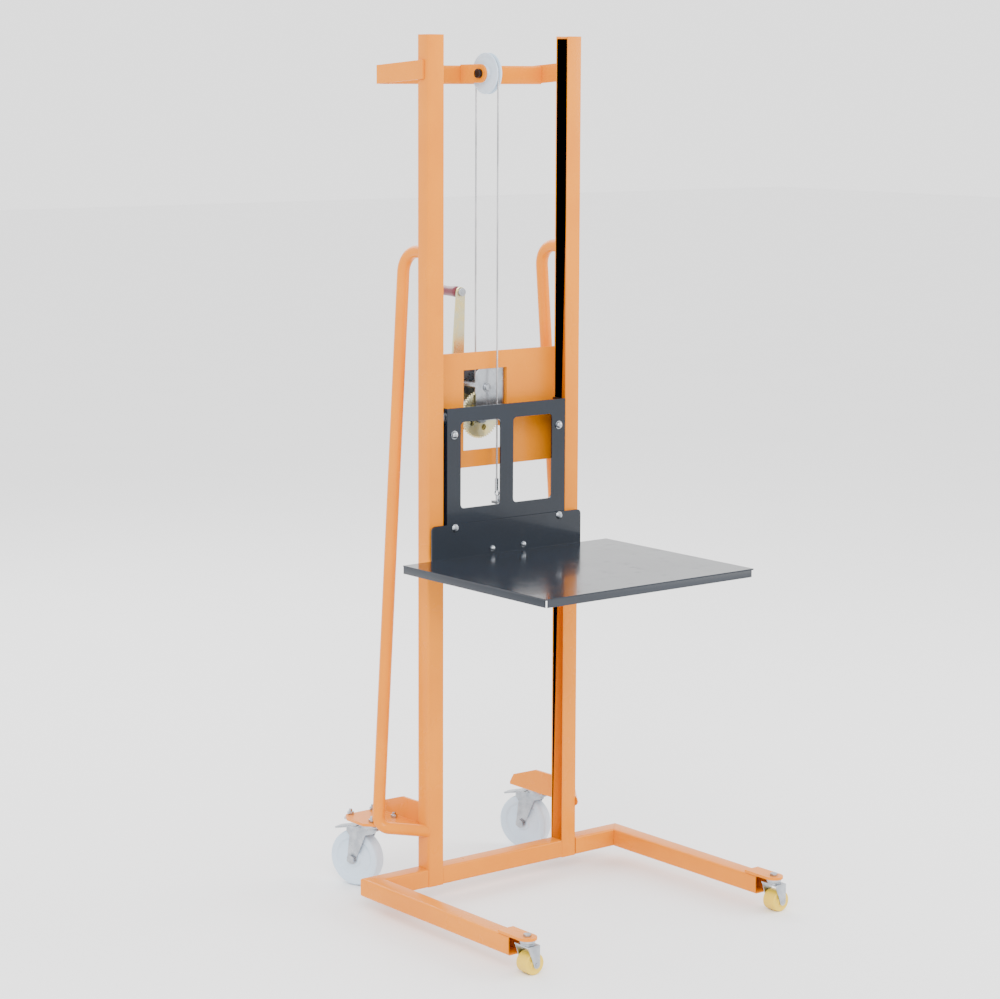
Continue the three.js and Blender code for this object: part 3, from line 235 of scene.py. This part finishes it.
@dataclass(frozen=True)
class Finish:
    """One finish: two tones of its colour, its gloss and its texture."""

    slot: str
    light: Point
    dark: Point
    roughness: tuple[float, float]
    metallic: float
    texture: Texture
    coat: float = 0.0
    specular: float = 0.5

    def material(self) -> bpy.types.Material:
        """Builds the finish's material.

        Returns:
            The material.
        """
        graph = Graph(self.slot)
        cloud = graph.noise(7, 4).ramp(0.3, 0.7)
        grime = graph.noise(38, 6).ramp(0.56, 0.8)
        tone = {Texture.PLATED: graph.noise(60, 5).ramp(0.3, 0.7)}.get(self.texture, cloud)
        low, high = self.roughness
        graph.set(
            Base_Color=graph.mix(tone * 0.7 + grime * 0.3, self.light, self.dark),
            Roughness=cloud * 0.3 * (high - low) + grime * 0.7 * (high - low) + low,
            Metallic=self.metallic,
            Coat_Weight=self.coat,
            Specular_IOR_Level=self.specular,
            Coat_Roughness=0.06,
        )
        if self.texture is Texture.ORANGE_PEEL:
            graph.bump(graph.noise(420, 2), 0.12, 0.4 * MM)
        elif self.texture is Texture.PLATED:
            grain = graph.noise(900, 3, (1, 1, 0.2)) + graph.noise(120, 4) * 0.6
            graph.bump(grain, 0.12, 0.3 * MM)
        elif self.texture is Texture.MOULDED:
            graph.bump(graph.noise(700, 3) + graph.noise(90, 2) * 0.5, 0.1, 0.3 * MM)
        else:
            graph.bump(graph.noise(1500, 2, (1, 1, 0.3)), 0.25, 0.2 * MM)
        return graph.material


FINISHES = (
    Finish("orange_paint", (0.76, 0.23, 0.0005), (0.68, 0.19, 0.0004), (0.26, 0.4), 0,
           Texture.ORANGE_PEEL, 0.06, 0.16),
    Finish("black_paint", (0.006, 0.011, 0.02), (0.004, 0.007, 0.013), (0.16, 0.3), 0,
           Texture.ORANGE_PEEL, 0.25, 0.3),
    Finish("zinc", (0.44, 0.46, 0.49), (0.26, 0.28, 0.31), (0.24, 0.42), 1, Texture.PLATED),
    Finish("yellow_zinc", (0.66, 0.55, 0.25), (0.5, 0.52, 0.4), (0.24, 0.44), 0.9, Texture.PLATED),
    Finish("nylon", (0.56, 0.68, 0.8), (0.46, 0.58, 0.7), (0.34, 0.5), 0, Texture.MOULDED),
    Finish("amber_tread", (0.83, 0.58, 0.04), (0.68, 0.43, 0.02), (0.3, 0.45), 0, Texture.MOULDED),
    Finish("grip", (0.15, 0.014, 0.03), (0.1, 0.009, 0.02), (0.28, 0.4), 0, Texture.MOULDED),
    Finish("rope", (0.5, 0.51, 0.53), (0.2, 0.21, 0.22), (0.3, 0.5), 1, Texture.STRANDED),
    Finish("dark_steel", (0.025, 0.03, 0.04), (0.012, 0.014, 0.02), (0.25, 0.4), 0.8, Texture.PLATED),
)


# ---------------------------------------------------------------- meshes
def smooth(mesh: bpy.types.Mesh) -> None:
    """Shades a mesh smooth except at its edges."""
    mesh.polygons.foreach_set("use_smooth", [True] * len(mesh.polygons))
    mesh.set_sharp_from_angle(angle=SMOOTH_ANGLE)


def outward(mesh: bpy.types.Mesh, weld: float = 1e-6) -> None:
    """Merges a closed mesh's doubles and turns its faces out."""
    work = bmesh.new()
    work.from_mesh(mesh)
    bmesh.ops.remove_doubles(work, verts=work.verts, dist=weld)
    bmesh.ops.recalc_face_normals(work, faces=work.faces)
    work.to_mesh(mesh)
    work.free()


def trim(mesh: bpy.types.Mesh, place: Vector, keep: Vector, below: float) -> None:
    """Cuts a closed mesh at a plane and closes the cut, for the faces below a height only.

    Args:
        mesh: the mesh.
        place: a point of the plane.
        keep: the plane's normal, towards the side that stays.
        below: the height under which the cut is made.
    """
    work = bmesh.new()
    work.from_mesh(mesh)
    low = [face for face in work.faces if face.calc_center_median().z < below]
    parts = {item for face in low for item in (face, *face.edges, *face.verts)}
    bmesh.ops.bisect_plane(
        work, geom=list(parts), plane_co=place, plane_no=-keep, clear_outer=True, dist=1e-6
    )
    bmesh.ops.holes_fill(work, edges=[edge for edge in work.edges if edge.is_boundary], sides=0)
    work.to_mesh(mesh)
    work.free()


@dataclass
class Workshop:
    """Makes the pieces, gives them their finish and their body, and keeps what is replaced."""

    materials: dict[str, bpy.types.Material]
    replaced: set[str] = field(default_factory=set)

    def piece(
        self,
        name: str,
        mesh: bpy.types.Mesh,
        slot: str,
        body: str | None,
        nodes: Iterable[str] = (),
    ) -> bpy.types.Object:
        """Finishes a mesh as a piece that rides on a body.

        Args:
            name: the piece's name.
            mesh: its closed mesh, in place.
            slot: the finish.
            body: the body that carries it, or None for a piece that is blended between two.
            nodes: the CAD nodes that it replaces.

        Returns:
            The piece's object.
        """
        outward(mesh)
        smooth(mesh)
        mesh.materials.clear()
        mesh.materials.append(self.materials[slot])
        made = bpy.data.objects.new(name, mesh)
        bpy.context.scene.collection.objects.link(made)
        if body:
            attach(made, body)
        if nodes:
            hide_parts(*nodes)
            self.replaced.update(nodes)
        log.info("%s: %d faces on %s", name, len(mesh.polygons), body)
        return made

    def softened(self, node: str, slot: str, body: str) -> None:
        """Replaces a CAD node by a copy of it with rounded edges and smooth turned faces.

        Args:
            node: the CAD node.
            slot: its finish.
            body: its body.
        """
        mesh = frame["nodes"][node].data.copy()
        work = bmesh.new()
        work.from_mesh(mesh)
        bmesh.ops.remove_doubles(work, verts=work.verts, dist=2e-5)
        bmesh.ops.dissolve_limit(
            work, angle_limit=math.radians(0.6), verts=work.verts, edges=work.edges
        )
        work.to_mesh(mesh)
        work.free()
        mesh.name = f"{node}_shape"
        made = self.piece(f"{node}_finished", mesh, slot, body, (node,))
        bevel = made.modifiers.new("edges", "BEVEL")
        bevel.width = 0.7 * MM
        bevel.segments = 2
        bevel.limit_method = "ANGLE"
        bevel.angle_limit = SMOOTH_ANGLE
        bevel.harden_normals = True


def across(axis: Vector) -> tuple[Vector, Vector]:
    """Two directions that make a right-handed set with an axis."""
    first = axis.orthogonal().normalized()
    return first, axis.cross(first).normalized()


def turned(profile: Sequence[tuple[float, float]], axis: Vector, centre: Vector, sides: int = 96):
    """A closed profile turned about an axis.

    Args:
        profile: radius and height pairs in millimetres, going round the section.
        axis: the direction of the axis.
        centre: the point at height 0.
        sides: how many steps round.

    Returns:
        The mesh.
    """
    axis = axis.normalized()
    first, second = across(axis)
    points = []
    for step in range(sides):
        angle = math.tau * step / sides
        arm = first * math.cos(angle) + second * math.sin(angle)
        points += [centre + arm * (r * MM) + axis * (h * MM) for r, h in profile]
    count = len(profile)
    faces = [
        (
            i * count + j,
            i * count + (j + 1) % count,
            ((i + 1) % sides) * count + (j + 1) % count,
            ((i + 1) % sides) * count + j,
        )
        for i in range(sides)
        for j in range(count)
    ]
    mesh = bpy.data.meshes.new("turned")
    mesh.from_pydata(points, [], faces)
    return mesh


def rounded(corners: Sequence[tuple[float, float, float]], steps: int = 4):
    """Rounds the corners of a closed section.

    Args:
        corners: radius, height and rounding of each corner, in millimetres.
        steps: points on each rounded corner.

    Returns:
        The section as radius and height pairs.
    """
    section = []
    for i, (r, h, rounding) in enumerate(corners):
        here = Vector((r, h))
        if rounding <= 0:
            section.append((r, h))
            continue
        before = Vector(corners[i - 1][:2]) - here
        after = Vector(corners[(i + 1) % len(corners)][:2]) - here
        start = here + before.normalized() * min(rounding, before.length / 2)
        end = here + after.normalized() * min(rounding, after.length / 2)
        for step in range(steps + 1):
            t = step / steps
            point = start * (1 - t) ** 2 + here * (2 * t * (1 - t)) + end * t**2
            section.append((point.x, point.y))
    return section


def centre_of(node: str) -> Vector:
    """The middle of a CAD node's box."""
    low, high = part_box(node)
    return (low + high) / 2


def joint(name: str) -> dict:
    """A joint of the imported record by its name."""
    return next(j for j in frame["joints"] if j["name"] == name)


# ---------------------------------------------------------------- geometry nodes
class Shape:
    """A Geometry Nodes tree with named inputs, ending in Realize Instances and Set Material."""

    def __init__(self, name: str, inputs: dict[str, tuple[str, Any]]) -> None:
        """Makes the tree's interface.

        Args:
            name: the tree's name.
            inputs: socket type and default of each input by name.
        """
        self.tree = bpy.data.node_groups.new(name, "GeometryNodeTree")
        face = self.tree.interface
        face.new_socket("Geometry", in_out="INPUT", socket_type="NodeSocketGeometry")
        face.new_socket("Geometry", in_out="OUTPUT", socket_type="NodeSocketGeometry")
        self.ids = {}
        for key, (kind, default) in {**inputs, "Finish": ("Material", None)}.items():
            socket = face.new_socket(key, in_out="INPUT", socket_type=f"NodeSocket{kind}")
            self.ids[key] = socket.identifier
            if default is not None:
                socket.default_value = default
        self.inlet = self.tree.nodes.new("NodeGroupInput").outputs

    def node(self, kind: str, settings: dict | None = None, sockets: dict | None = None) -> Any:
        """Adds a node, with its settings first and then its values or links."""
        made = self.tree.nodes.new(kind)
        for key, value in (settings or {}).items():
            setattr(made, key, value)
        for key, value in (sockets or {}).items():
            if isinstance(value, bpy.types.NodeSocket):
                self.tree.links.new(value, made.inputs[key])
            else:
                made.inputs[key].default_value = value
        return made

    def close(self, geometry: Socket) -> None:
        """Ends the tree with a geometry."""
        real = self.node("GeometryNodeRealizeInstances", None, {"Geometry": geometry})
        dressed = self.node(
            "GeometryNodeSetMaterial",
            None,
            {"Geometry": real.outputs[0], "Material": self.inlet["Finish"]},
        )
        self.node("NodeGroupOutput", None, {0: dressed.outputs[0]})

    def made_from(
        self, points: Sequence[Vector], edges: bool, bends: Sequence[float] = (), **values: Any
    ) -> bpy.types.Mesh:
        """Runs the tree on some points.

        Args:
            points: the points, in metres.
            edges: whether they are joined into a path.
            bends: the bend radius at each point, if the tree reads it.
            **values: the tree's inputs, named with _ for a space.

        Returns:
            The result as a plain mesh.
        """
        source = bpy.data.meshes.new("points")
        pairs = [(i, i + 1) for i in range(len(points) - 1)] if edges else []
        source.from_pydata(list(points), pairs, [])
        if bends:
            source.attributes.new("bend", "FLOAT", "POINT").data.foreach_set("value", list(bends))
        holder = bpy.data.objects.new("holder", source)
        bpy.context.scene.collection.objects.link(holder)
        modifier = holder.modifiers.new("shape", "NODES")
        modifier.node_group = self.tree
        for key, value in values.items():
            modifier[self.ids[key.replace("_", " ")]] = value
        graph = bpy.context.evaluated_depsgraph_get()
        mesh = bpy.data.meshes.new_from_object(holder.evaluated_get(graph), depsgraph=graph)
        bpy.data.objects.remove(holder)
        return mesh


def bent_bar() -> Shape:
    """A round bar along a path whose corners are bent to a radius."""
    shape = Shape("bent bar", {"Radius": ("Float", 0.0135)})
    bend = shape.node("GeometryNodeInputNamedAttribute", {"data_type": "FLOAT"}, {"Name": "bend"})
    path = shape.node("GeometryNodeMeshToCurve", None, {0: shape.inlet["Geometry"]})
    bent = shape.node(
        "GeometryNodeFilletCurve",
        {"mode": "POLY"},
        {"Curve": path.outputs[0], "Radius": bend.outputs[0], "Count": 14},
    )
    ring = shape.node(
        "GeometryNodeCurvePrimitiveCircle",
        None,
        {"Resolution": 40, "Radius": shape.inlet["Radius"]},
    )
    bar = shape.node(
        "GeometryNodeCurveToMesh",
        None,
        {"Curve": bent.outputs[0], "Profile Curve": ring.outputs[0], "Fill Caps": True},
    )
    shape.close(bar.outputs[0])
    return shape


def wire_rope() -> Shape:
    """A rope of six strands laid round a path."""
    shape = Shape(
        "wire rope",
        {"Radius": ("Float", 0.002), "Lay": ("Float", 0.026), "Step": ("Float", 0.002)},
    )
    path = shape.node("GeometryNodeMeshToCurve", None, {0: shape.inlet["Geometry"]})
    even = shape.node(
        "GeometryNodeResampleCurve",
        {"mode": "LENGTH"},
        {"Curve": path.outputs[0], "Length": shape.inlet["Step"]},
    )
    along = shape.node("GeometryNodeSplineParameter")
    turns = shape.node(
        "ShaderNodeMath", {"operation": "DIVIDE"}, {0: along.outputs["Length"], 1: shape.inlet["Lay"]}
    )
    tilt = shape.node("ShaderNodeMath", {"operation": "MULTIPLY"}, {0: turns.outputs[0], 1: math.tau})
    twisted = shape.node(
        "GeometryNodeSetCurveTilt", None, {"Curve": even.outputs[0], "Tilt": tilt.outputs[0]}
    )
    inner = shape.node(
        "ShaderNodeMath", {"operation": "MULTIPLY"}, {0: shape.inlet["Radius"], 1: 0.78}
    )
    star = shape.node(
        "GeometryNodeCurveStar",
        None,
        {"Points": 6, "Inner Radius": inner.outputs[0], "Outer Radius": shape.inlet["Radius"]},
    )
    rope = shape.node(
        "GeometryNodeCurveToMesh",
        None,
        {"Curve": twisted.outputs[0], "Profile Curve": star.outputs[0], "Fill Caps": True},
    )
    shape.close(rope.outputs[0])
    return shape


def fasteners() -> Shape:
    """A domed head on a washer at each point, turned to an axis."""
    shape = Shape(
        "fasteners",
        {"Radius": ("Float", 0.006), "Height": ("Float", 0.005), "Turn": ("Rotation", None)},
    )
    ball = shape.node(
        "GeometryNodeMeshUVSphere",
        None,
        {"Segments": 32, "Rings": 20, "Radius": shape.inlet["Radius"]},
    )
    head = shape.node(
        "GeometryNodeTransform", None, {"Geometry": ball.outputs[0], "Scale": (1.0, 1.0, 0.55)}
    )
    thin = shape.node("ShaderNodeMath", {"operation": "MULTIPLY"}, {0: shape.inlet["Height"], 1: 0.25})
    wide = shape.node("ShaderNodeMath", {"operation": "MULTIPLY"}, {0: shape.inlet["Radius"], 1: 1.3})
    washer = shape.node(
        "GeometryNodeMeshCylinder",
        None,
        {"Vertices": 32, "Radius": wide.outputs[0], "Depth": thin.outputs[0]},
    )
    drop = shape.node("ShaderNodeMath", {"operation": "MULTIPLY"}, {0: shape.inlet["Height"], 1: -0.63})
    place = shape.node("ShaderNodeCombineXYZ", None, {"Z": drop.outputs[0]})
    low = shape.node(
        "GeometryNodeTransform", None, {"Geometry": washer.outputs[0], "Translation": place.outputs[0]}
    )
    both = shape.node("GeometryNodeJoinGeometry")
    for part in (head.outputs[0], low.outputs[0]):
        shape.tree.links.new(part, both.inputs[0])
    copies = shape.node(
        "GeometryNodeInstanceOnPoints",
        None,
        {
            "Points": shape.inlet["Geometry"],
            "Instance": both.outputs[0],
            "Rotation": shape.inlet["Turn"],
        },
    )
    shape.close(copies.outputs[0])
    return shape


# ---------------------------------------------------------------- sub-assemblies
SIDES = ("left", "right")


@dataclass
class Handles:
    """The two push handles, from behind the masts down to the caster brackets."""

    diameter: float = 27.0
    bend: float = 46.0
    foot_bend: float = 24.0
    gap: float = 0.3
    foot_forward: float = 13.0
    end_inset: float = 16.0
    overrun: float = 12.0

    def build(self, shop: Workshop) -> None:
        """Makes both bars along their paths."""
        tree = bent_bar()
        radius = self.diameter / 2 * MM
        for name in SIDES:
            low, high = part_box(f"handle_{name}")
            mast_low, mast_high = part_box(f"mast_{name}")
            side = 1 if name == "right" else -1
            mast_x = (mast_low.x + mast_high.x) / 2
            outer = mast_high.x if side > 0 else mast_low.x
            foot_x = (high.x if side > 0 else low.x) - side * radius
            foot_z = low.z + radius
            top_z = high.z - radius
            grip_y = high.y - radius
            foot_y = grip_y - self.foot_forward * MM
            end_y = mast_low.y + self.end_inset * MM
            slope = (foot_y - end_y) / (foot_x - outer)
            past = -side * self.overrun * MM
            points = [
                Vector((mast_x, mast_high.y + self.gap * MM, top_z)),
                Vector((mast_x, grip_y, top_z)),
                Vector((foot_x, foot_y, foot_z)),
                Vector((outer + past, end_y + past * slope, foot_z)),
            ]
            bends = (0.0, self.bend * MM, self.foot_bend * MM, 0.0)
            mesh = tree.made_from(points, True, bends, Radius=radius)
            face = Vector((outer + side * self.gap * MM, 0, 0))
            trim(mesh, face, Vector((side, 0, 0)), foot_z + 2 * radius)
            shop.piece(f"push_handle_{name}", mesh, "orange_paint", "frame", (f"handle_{name}",))


@dataclass
class Rope:
    """The wire rope: front run, rear run over the sheave, and the turns on the drum."""

    radius: float = 2.0
    lay: float = 24.0
    step: float = 2.0
    turn_step: float = 3.0
    turn_lift: float = 1.6
    turn_room: float = 1.03
    arc_steps: int = 40

    def build(self, shop: Workshop) -> None:
        """Makes the three stretches of rope."""
        tree = wire_rope()
        values = {"Radius": self.radius * MM, "Lay": self.lay * MM}
        low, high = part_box("rope_front")
        x, y = (low.x + high.x) / 2, (low.y + high.y) / 2
        run = [Vector((x, y, high.z)), Vector((x, y, low.z))]
        mesh = tree.made_from(run, True, Step=self.step * MM, **values)
        made = shop.piece("rope_front_run", mesh, "rope", None, ("rope_front",))
        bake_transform(made)
        self._over(shop, tree, values)
        self._turns(shop, tree, values)

    def _over(self, shop: Workshop, tree: Shape, values: dict) -> None:
        """Makes the rear run with the half turn over the sheave."""
        low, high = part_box("rope_rear")
        r = self.radius * MM
        front, rear = low.y + r, high.y - r
        centre, arc = (front + rear) / 2, (rear - front) / 2
        x, top = (low.x + high.x) / 2, high.z - r
        level = top - arc
        steps = self.arc_steps
        path = [Vector((x, rear, low.z)), Vector((x, rear, level))]
        for step in range(1, steps + 1):
            angle = math.pi * step / steps
            path.append(Vector((x, centre + arc * math.cos(angle), level + arc * math.sin(angle))))
        mesh = tree.made_from(path, True, Step=self.step * MM, **values)
        shop.piece("rope_rear_run", mesh, "rope", "frame", ("rope_rear",))

    def _turns(self, shop: Workshop, tree: Shape, values: dict) -> None:
        """Makes the turns on the drum as one helix that lies between its flanges."""
        low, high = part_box("rope_winding")
        axis_x, axis_z = (low.x + high.x) / 2, (low.z + high.z) / 2
        reach = (high.x - low.x) / 2 + self.turn_lift * MM
        pitch = 2 * self.radius * MM * self.turn_room
        start, end = low.y + self.radius * MM, high.y - self.radius * MM
        turns = (end - start) / pitch
        steps = int(turns * self.arc_steps)
        path = [
            Vector((
                axis_x + reach * math.cos(math.tau * i / self.arc_steps),
                start + (end - start) * i / steps,
                axis_z + reach * math.sin(math.tau * i / self.arc_steps),
            ))
            for i in range(steps + 1)
        ]
        mesh = tree.made_from(path, True, Step=self.turn_step * MM, **values)
        shop.piece("rope_turns", mesh, "rope", "drum", ("rope_winding",))


@dataclass
class Wheels:
    """Every wheel and roller, as one turned section each."""

    sides: int = 96

    def build(self, shop: Workshop) -> None:
        """Makes the caster wheels, the sheave and the guide rollers."""
        for name in SIDES:
            roll = joint(f"rear_roll_{name}")
            body = f"rear_wheel_{name}"
            shop.piece(
                f"rear_caster_wheel_{name}",
                turned(self._rear(), Vector(roll["axis"]), Vector(roll["pos_m"]), self.sides),
                "nylon", body, (body,),
            )
            roll = joint(f"front_roll_{name}")
            body = f"front_wheel_{name}"
            shop.piece(
                f"front_caster_wheel_{name}",
                turned(self._front(), Vector(roll["axis"]), Vector(roll["pos_m"]), self.sides),
                "amber_tread", body, (body,),
            )
            for level in ("upper", "lower"):
                body = f"guide_roller_{level}_{name}"
                shop.piece(
                    f"{body}_turned",
                    turned(self._guide(), Vector((1, 0, 0)), centre_of(body), 48),
                    "nylon", body, (body,),
                )
        shop.piece(
            "grooved_sheave",
            turned(self._sheave(), Vector((1, 0, 0)), centre_of("sheave"), self.sides),
            "nylon", "sheave", ("sheave",),
        )

    def _rear(self) -> list[tuple[float, float]]:
        """Section of a rear wheel, with its hub, web and crowned tread."""
        half = [(5.4, 18, 0.8), (17, 18, 2), (20, 13.5, 2.5), (42, 12, 2.5), (46, 15, 2),
                (60, 15, 3), (62.5, 8, 5)]
        return rounded(half + [(r, -h, k) for r, h, k in reversed(half)])

    def _front(self) -> list[tuple[float, float]]:
        """Section of a front wheel, with a soft-edged tread."""
        half = [(4.4, 19, 0.5), (10, 19, 1), (11, 17, 1), (18, 17, 1.5), (22.5, 17, 4)]
        return rounded(half + [(r, -h, k) for r, h, k in reversed(half)])

    def _guide(self) -> list[tuple[float, float]]:
        """Section of a guide roller."""
        return rounded([(5.3, 8, 0.4), (16.5, 8, 1.5), (16.5, -8, 1.5), (5.3, -8, 0.4)])

    def _sheave(self) -> list[tuple[float, float]]:
        """Section of the sheave, with its rope groove and wide hub."""
        half = [(6.3, 14, 0.5), (14, 14, 1.5), (17, 6.5, 2), (34, 5.2, 1), (44, 6.5, 1), (44, 4, 0.8),
                (36, 2, 1.5)]
        return rounded(half + [(r, -h, k) for r, h, k in reversed(half)])


@dataclass
class Grip:
    """The turned grip of the crank."""

    radius: float = 12.5
    bore: float = 4.3

    def build(self, shop: Workshop) -> None:
        """Makes the grip with its waist and end beads."""
        low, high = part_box("crank_grip")
        length = (high.y - low.y) / MM
        r = self.radius
        section = rounded([
            (self.bore, 0, 0), (r - 2, 0, 1.5), (r, 6, 3), (r - 2.2, length * 0.35, 20),
            (r - 0.6, length * 0.7, 20), (r, length - 9, 6), (r - 3, length, 3), (self.bore, length, 0),
        ], 8)
        start = Vector(((low.x + high.x) / 2, low.y, (low.z + high.z) / 2))
        mesh = turned(section, Vector((0, 1, 0)), start, 64)
        shop.piece("turned_grip", mesh, "grip", "grip", ("crank_grip",))


@dataclass
class Bolts:
    """Small bolts that the assembly needs besides the ones in the CAD model."""

    upper_clamp_z: float = 1.015
    clamp_x: float = 0.144
    centre_x: float = 0.043
    centre_drop: float = 0.062

    def build(self, shop: Workshop) -> None:
        """Puts bolt heads on the carriage and the platform upstand."""
        tree = fasteners()
        middle = centre_of("carriage_frame").x
        front_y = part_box("carriage_frame")[0].y
        height = 5 * MM
        facing = Vector((0, -1, 0)).to_track_quat("Z", "Y").to_euler()
        clamp = [
            Vector((middle + side * self.clamp_x, front_y - height * 0.8, self.upper_clamp_z))
            for side in (-1, 1)
        ]
        mesh = tree.made_from(clamp, False, Radius=7 * MM, Height=height, Turn=facing)
        shop.piece("carriage_clamp_heads", mesh, "zinc", "carriage")
        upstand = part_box("platform")
        face_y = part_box("platform_support_left")[1].y
        small = [
            Vector((middle + side * self.centre_x, face_y - height * 0.6, upstand[1].z - self.centre_drop))
            for side in (-1, 1)
        ]
        mesh = tree.made_from(small, False, Radius=5 * MM, Height=4 * MM, Turn=facing)
        shop.piece("upstand_bolt_heads", mesh, "zinc", "carriage")


@dataclass
class Remainder:
    """Every other CAD node, with rounded edges."""

    def build(self, shop: Workshop) -> None:
        """Softens each node that nothing has replaced yet."""
        record = frame["record"]
        slots = {part["node"]: part["material_slot"] for part in record["subparts"]}
        for body, nodes in record["behaviour"]["bodies"].items():
            for node in nodes:
                if node not in shop.replaced:
                    shop.softened(node, slots[node], body)


@dataclass
class Studio:
    """Pale floor, soft lights and the camera."""

    eye: Point = (-3.63635, -4.4218, 1.7676)
    aim: Point = (-0.00359, 0.145, 0.9282)
    lens: float = 97.785
    roll: float = math.radians(0.22)
    shift: float = -0.0313
    floor: float = 28.0

    def build(self) -> None:
        """Makes the floor, lights and camera."""
        self._floor()
        self._light("key_light", (-3.2, -3.6, 4.2), 3.0, 260)
        self._light("side_light", (3.6, -1.8, 2.6), 2.4, 110)
        self._light("back_light", (0.5, 3.8, 3.6), 3.0, 120)
        world = bpy.data.worlds.new("studio")
        world.use_nodes = True
        sky = world.node_tree.nodes["Background"]
        sky.inputs["Color"].default_value = (1, 1, 1, 1)
        sky.inputs["Strength"].default_value = 2.1
        bpy.context.scene.world = world
        self._camera()

    def _floor(self) -> None:
        """Makes the floor as one large sheet."""
        r = self.floor
        mesh = bpy.data.meshes.new("floor")
        mesh.from_pydata([(-r, -r, 0), (r, -r, 0), (r, r, 0), (-r, r, 0)], [], [(0, 1, 2, 3)])
        graph = Graph("floor")
        cloud = graph.noise(2, 4)
        graph.set(Base_Color=graph.mix(cloud, (0.93, 0.93, 0.93), (0.9, 0.9, 0.905)), Roughness=0.6)
        mesh.materials.append(graph.material)
        floor = bpy.data.objects.new("floor", mesh)
        bpy.context.scene.collection.objects.link(floor)

    def _light(self, name: str, place: Point, size: float, power: float) -> None:
        """Adds a square soft light that faces the middle of the lift."""
        lamp = bpy.data.lights.new(name, "AREA")
        lamp.size = size
        lamp.energy = power
        made = bpy.data.objects.new(name, lamp)
        made.location = place
        made.rotation_euler = (Vector((0, 0, 0.9)) - Vector(place)).to_track_quat("-Z", "Y").to_euler()
        bpy.context.scene.collection.objects.link(made)

    def _camera(self) -> None:
        """Adds the camera."""
        camera = bpy.data.cameras.new("camera")
        camera.lens = self.lens
        camera.sensor_width = 36
        camera.shift_y = self.shift
        camera.clip_end = 60
        made = bpy.data.objects.new("camera", camera)
        turn = (Vector(self.aim) - Vector(self.eye)).to_track_quat("-Z", "Y").to_matrix().to_4x4()
        made.matrix_world = Matrix.Translation(self.eye) @ turn @ Matrix.Rotation(self.roll, 4, "Z")
        bpy.context.scene.collection.objects.link(made)
        bpy.context.scene.camera = made


def main() -> None:
    """Builds the finishes, the sub-assemblies and the studio in order."""
    logging.basicConfig(level=logging.INFO, format="%(message)s")
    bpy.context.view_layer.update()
    Studio().build()
    shop = Workshop({finish.slot: finish.material() for finish in FINISHES})
    for group in (Handles(), Rope(), Wheels(), Grip(), Bolts(), Remainder()):
        group.build(shop)


if __name__ == "__main__":
    main()
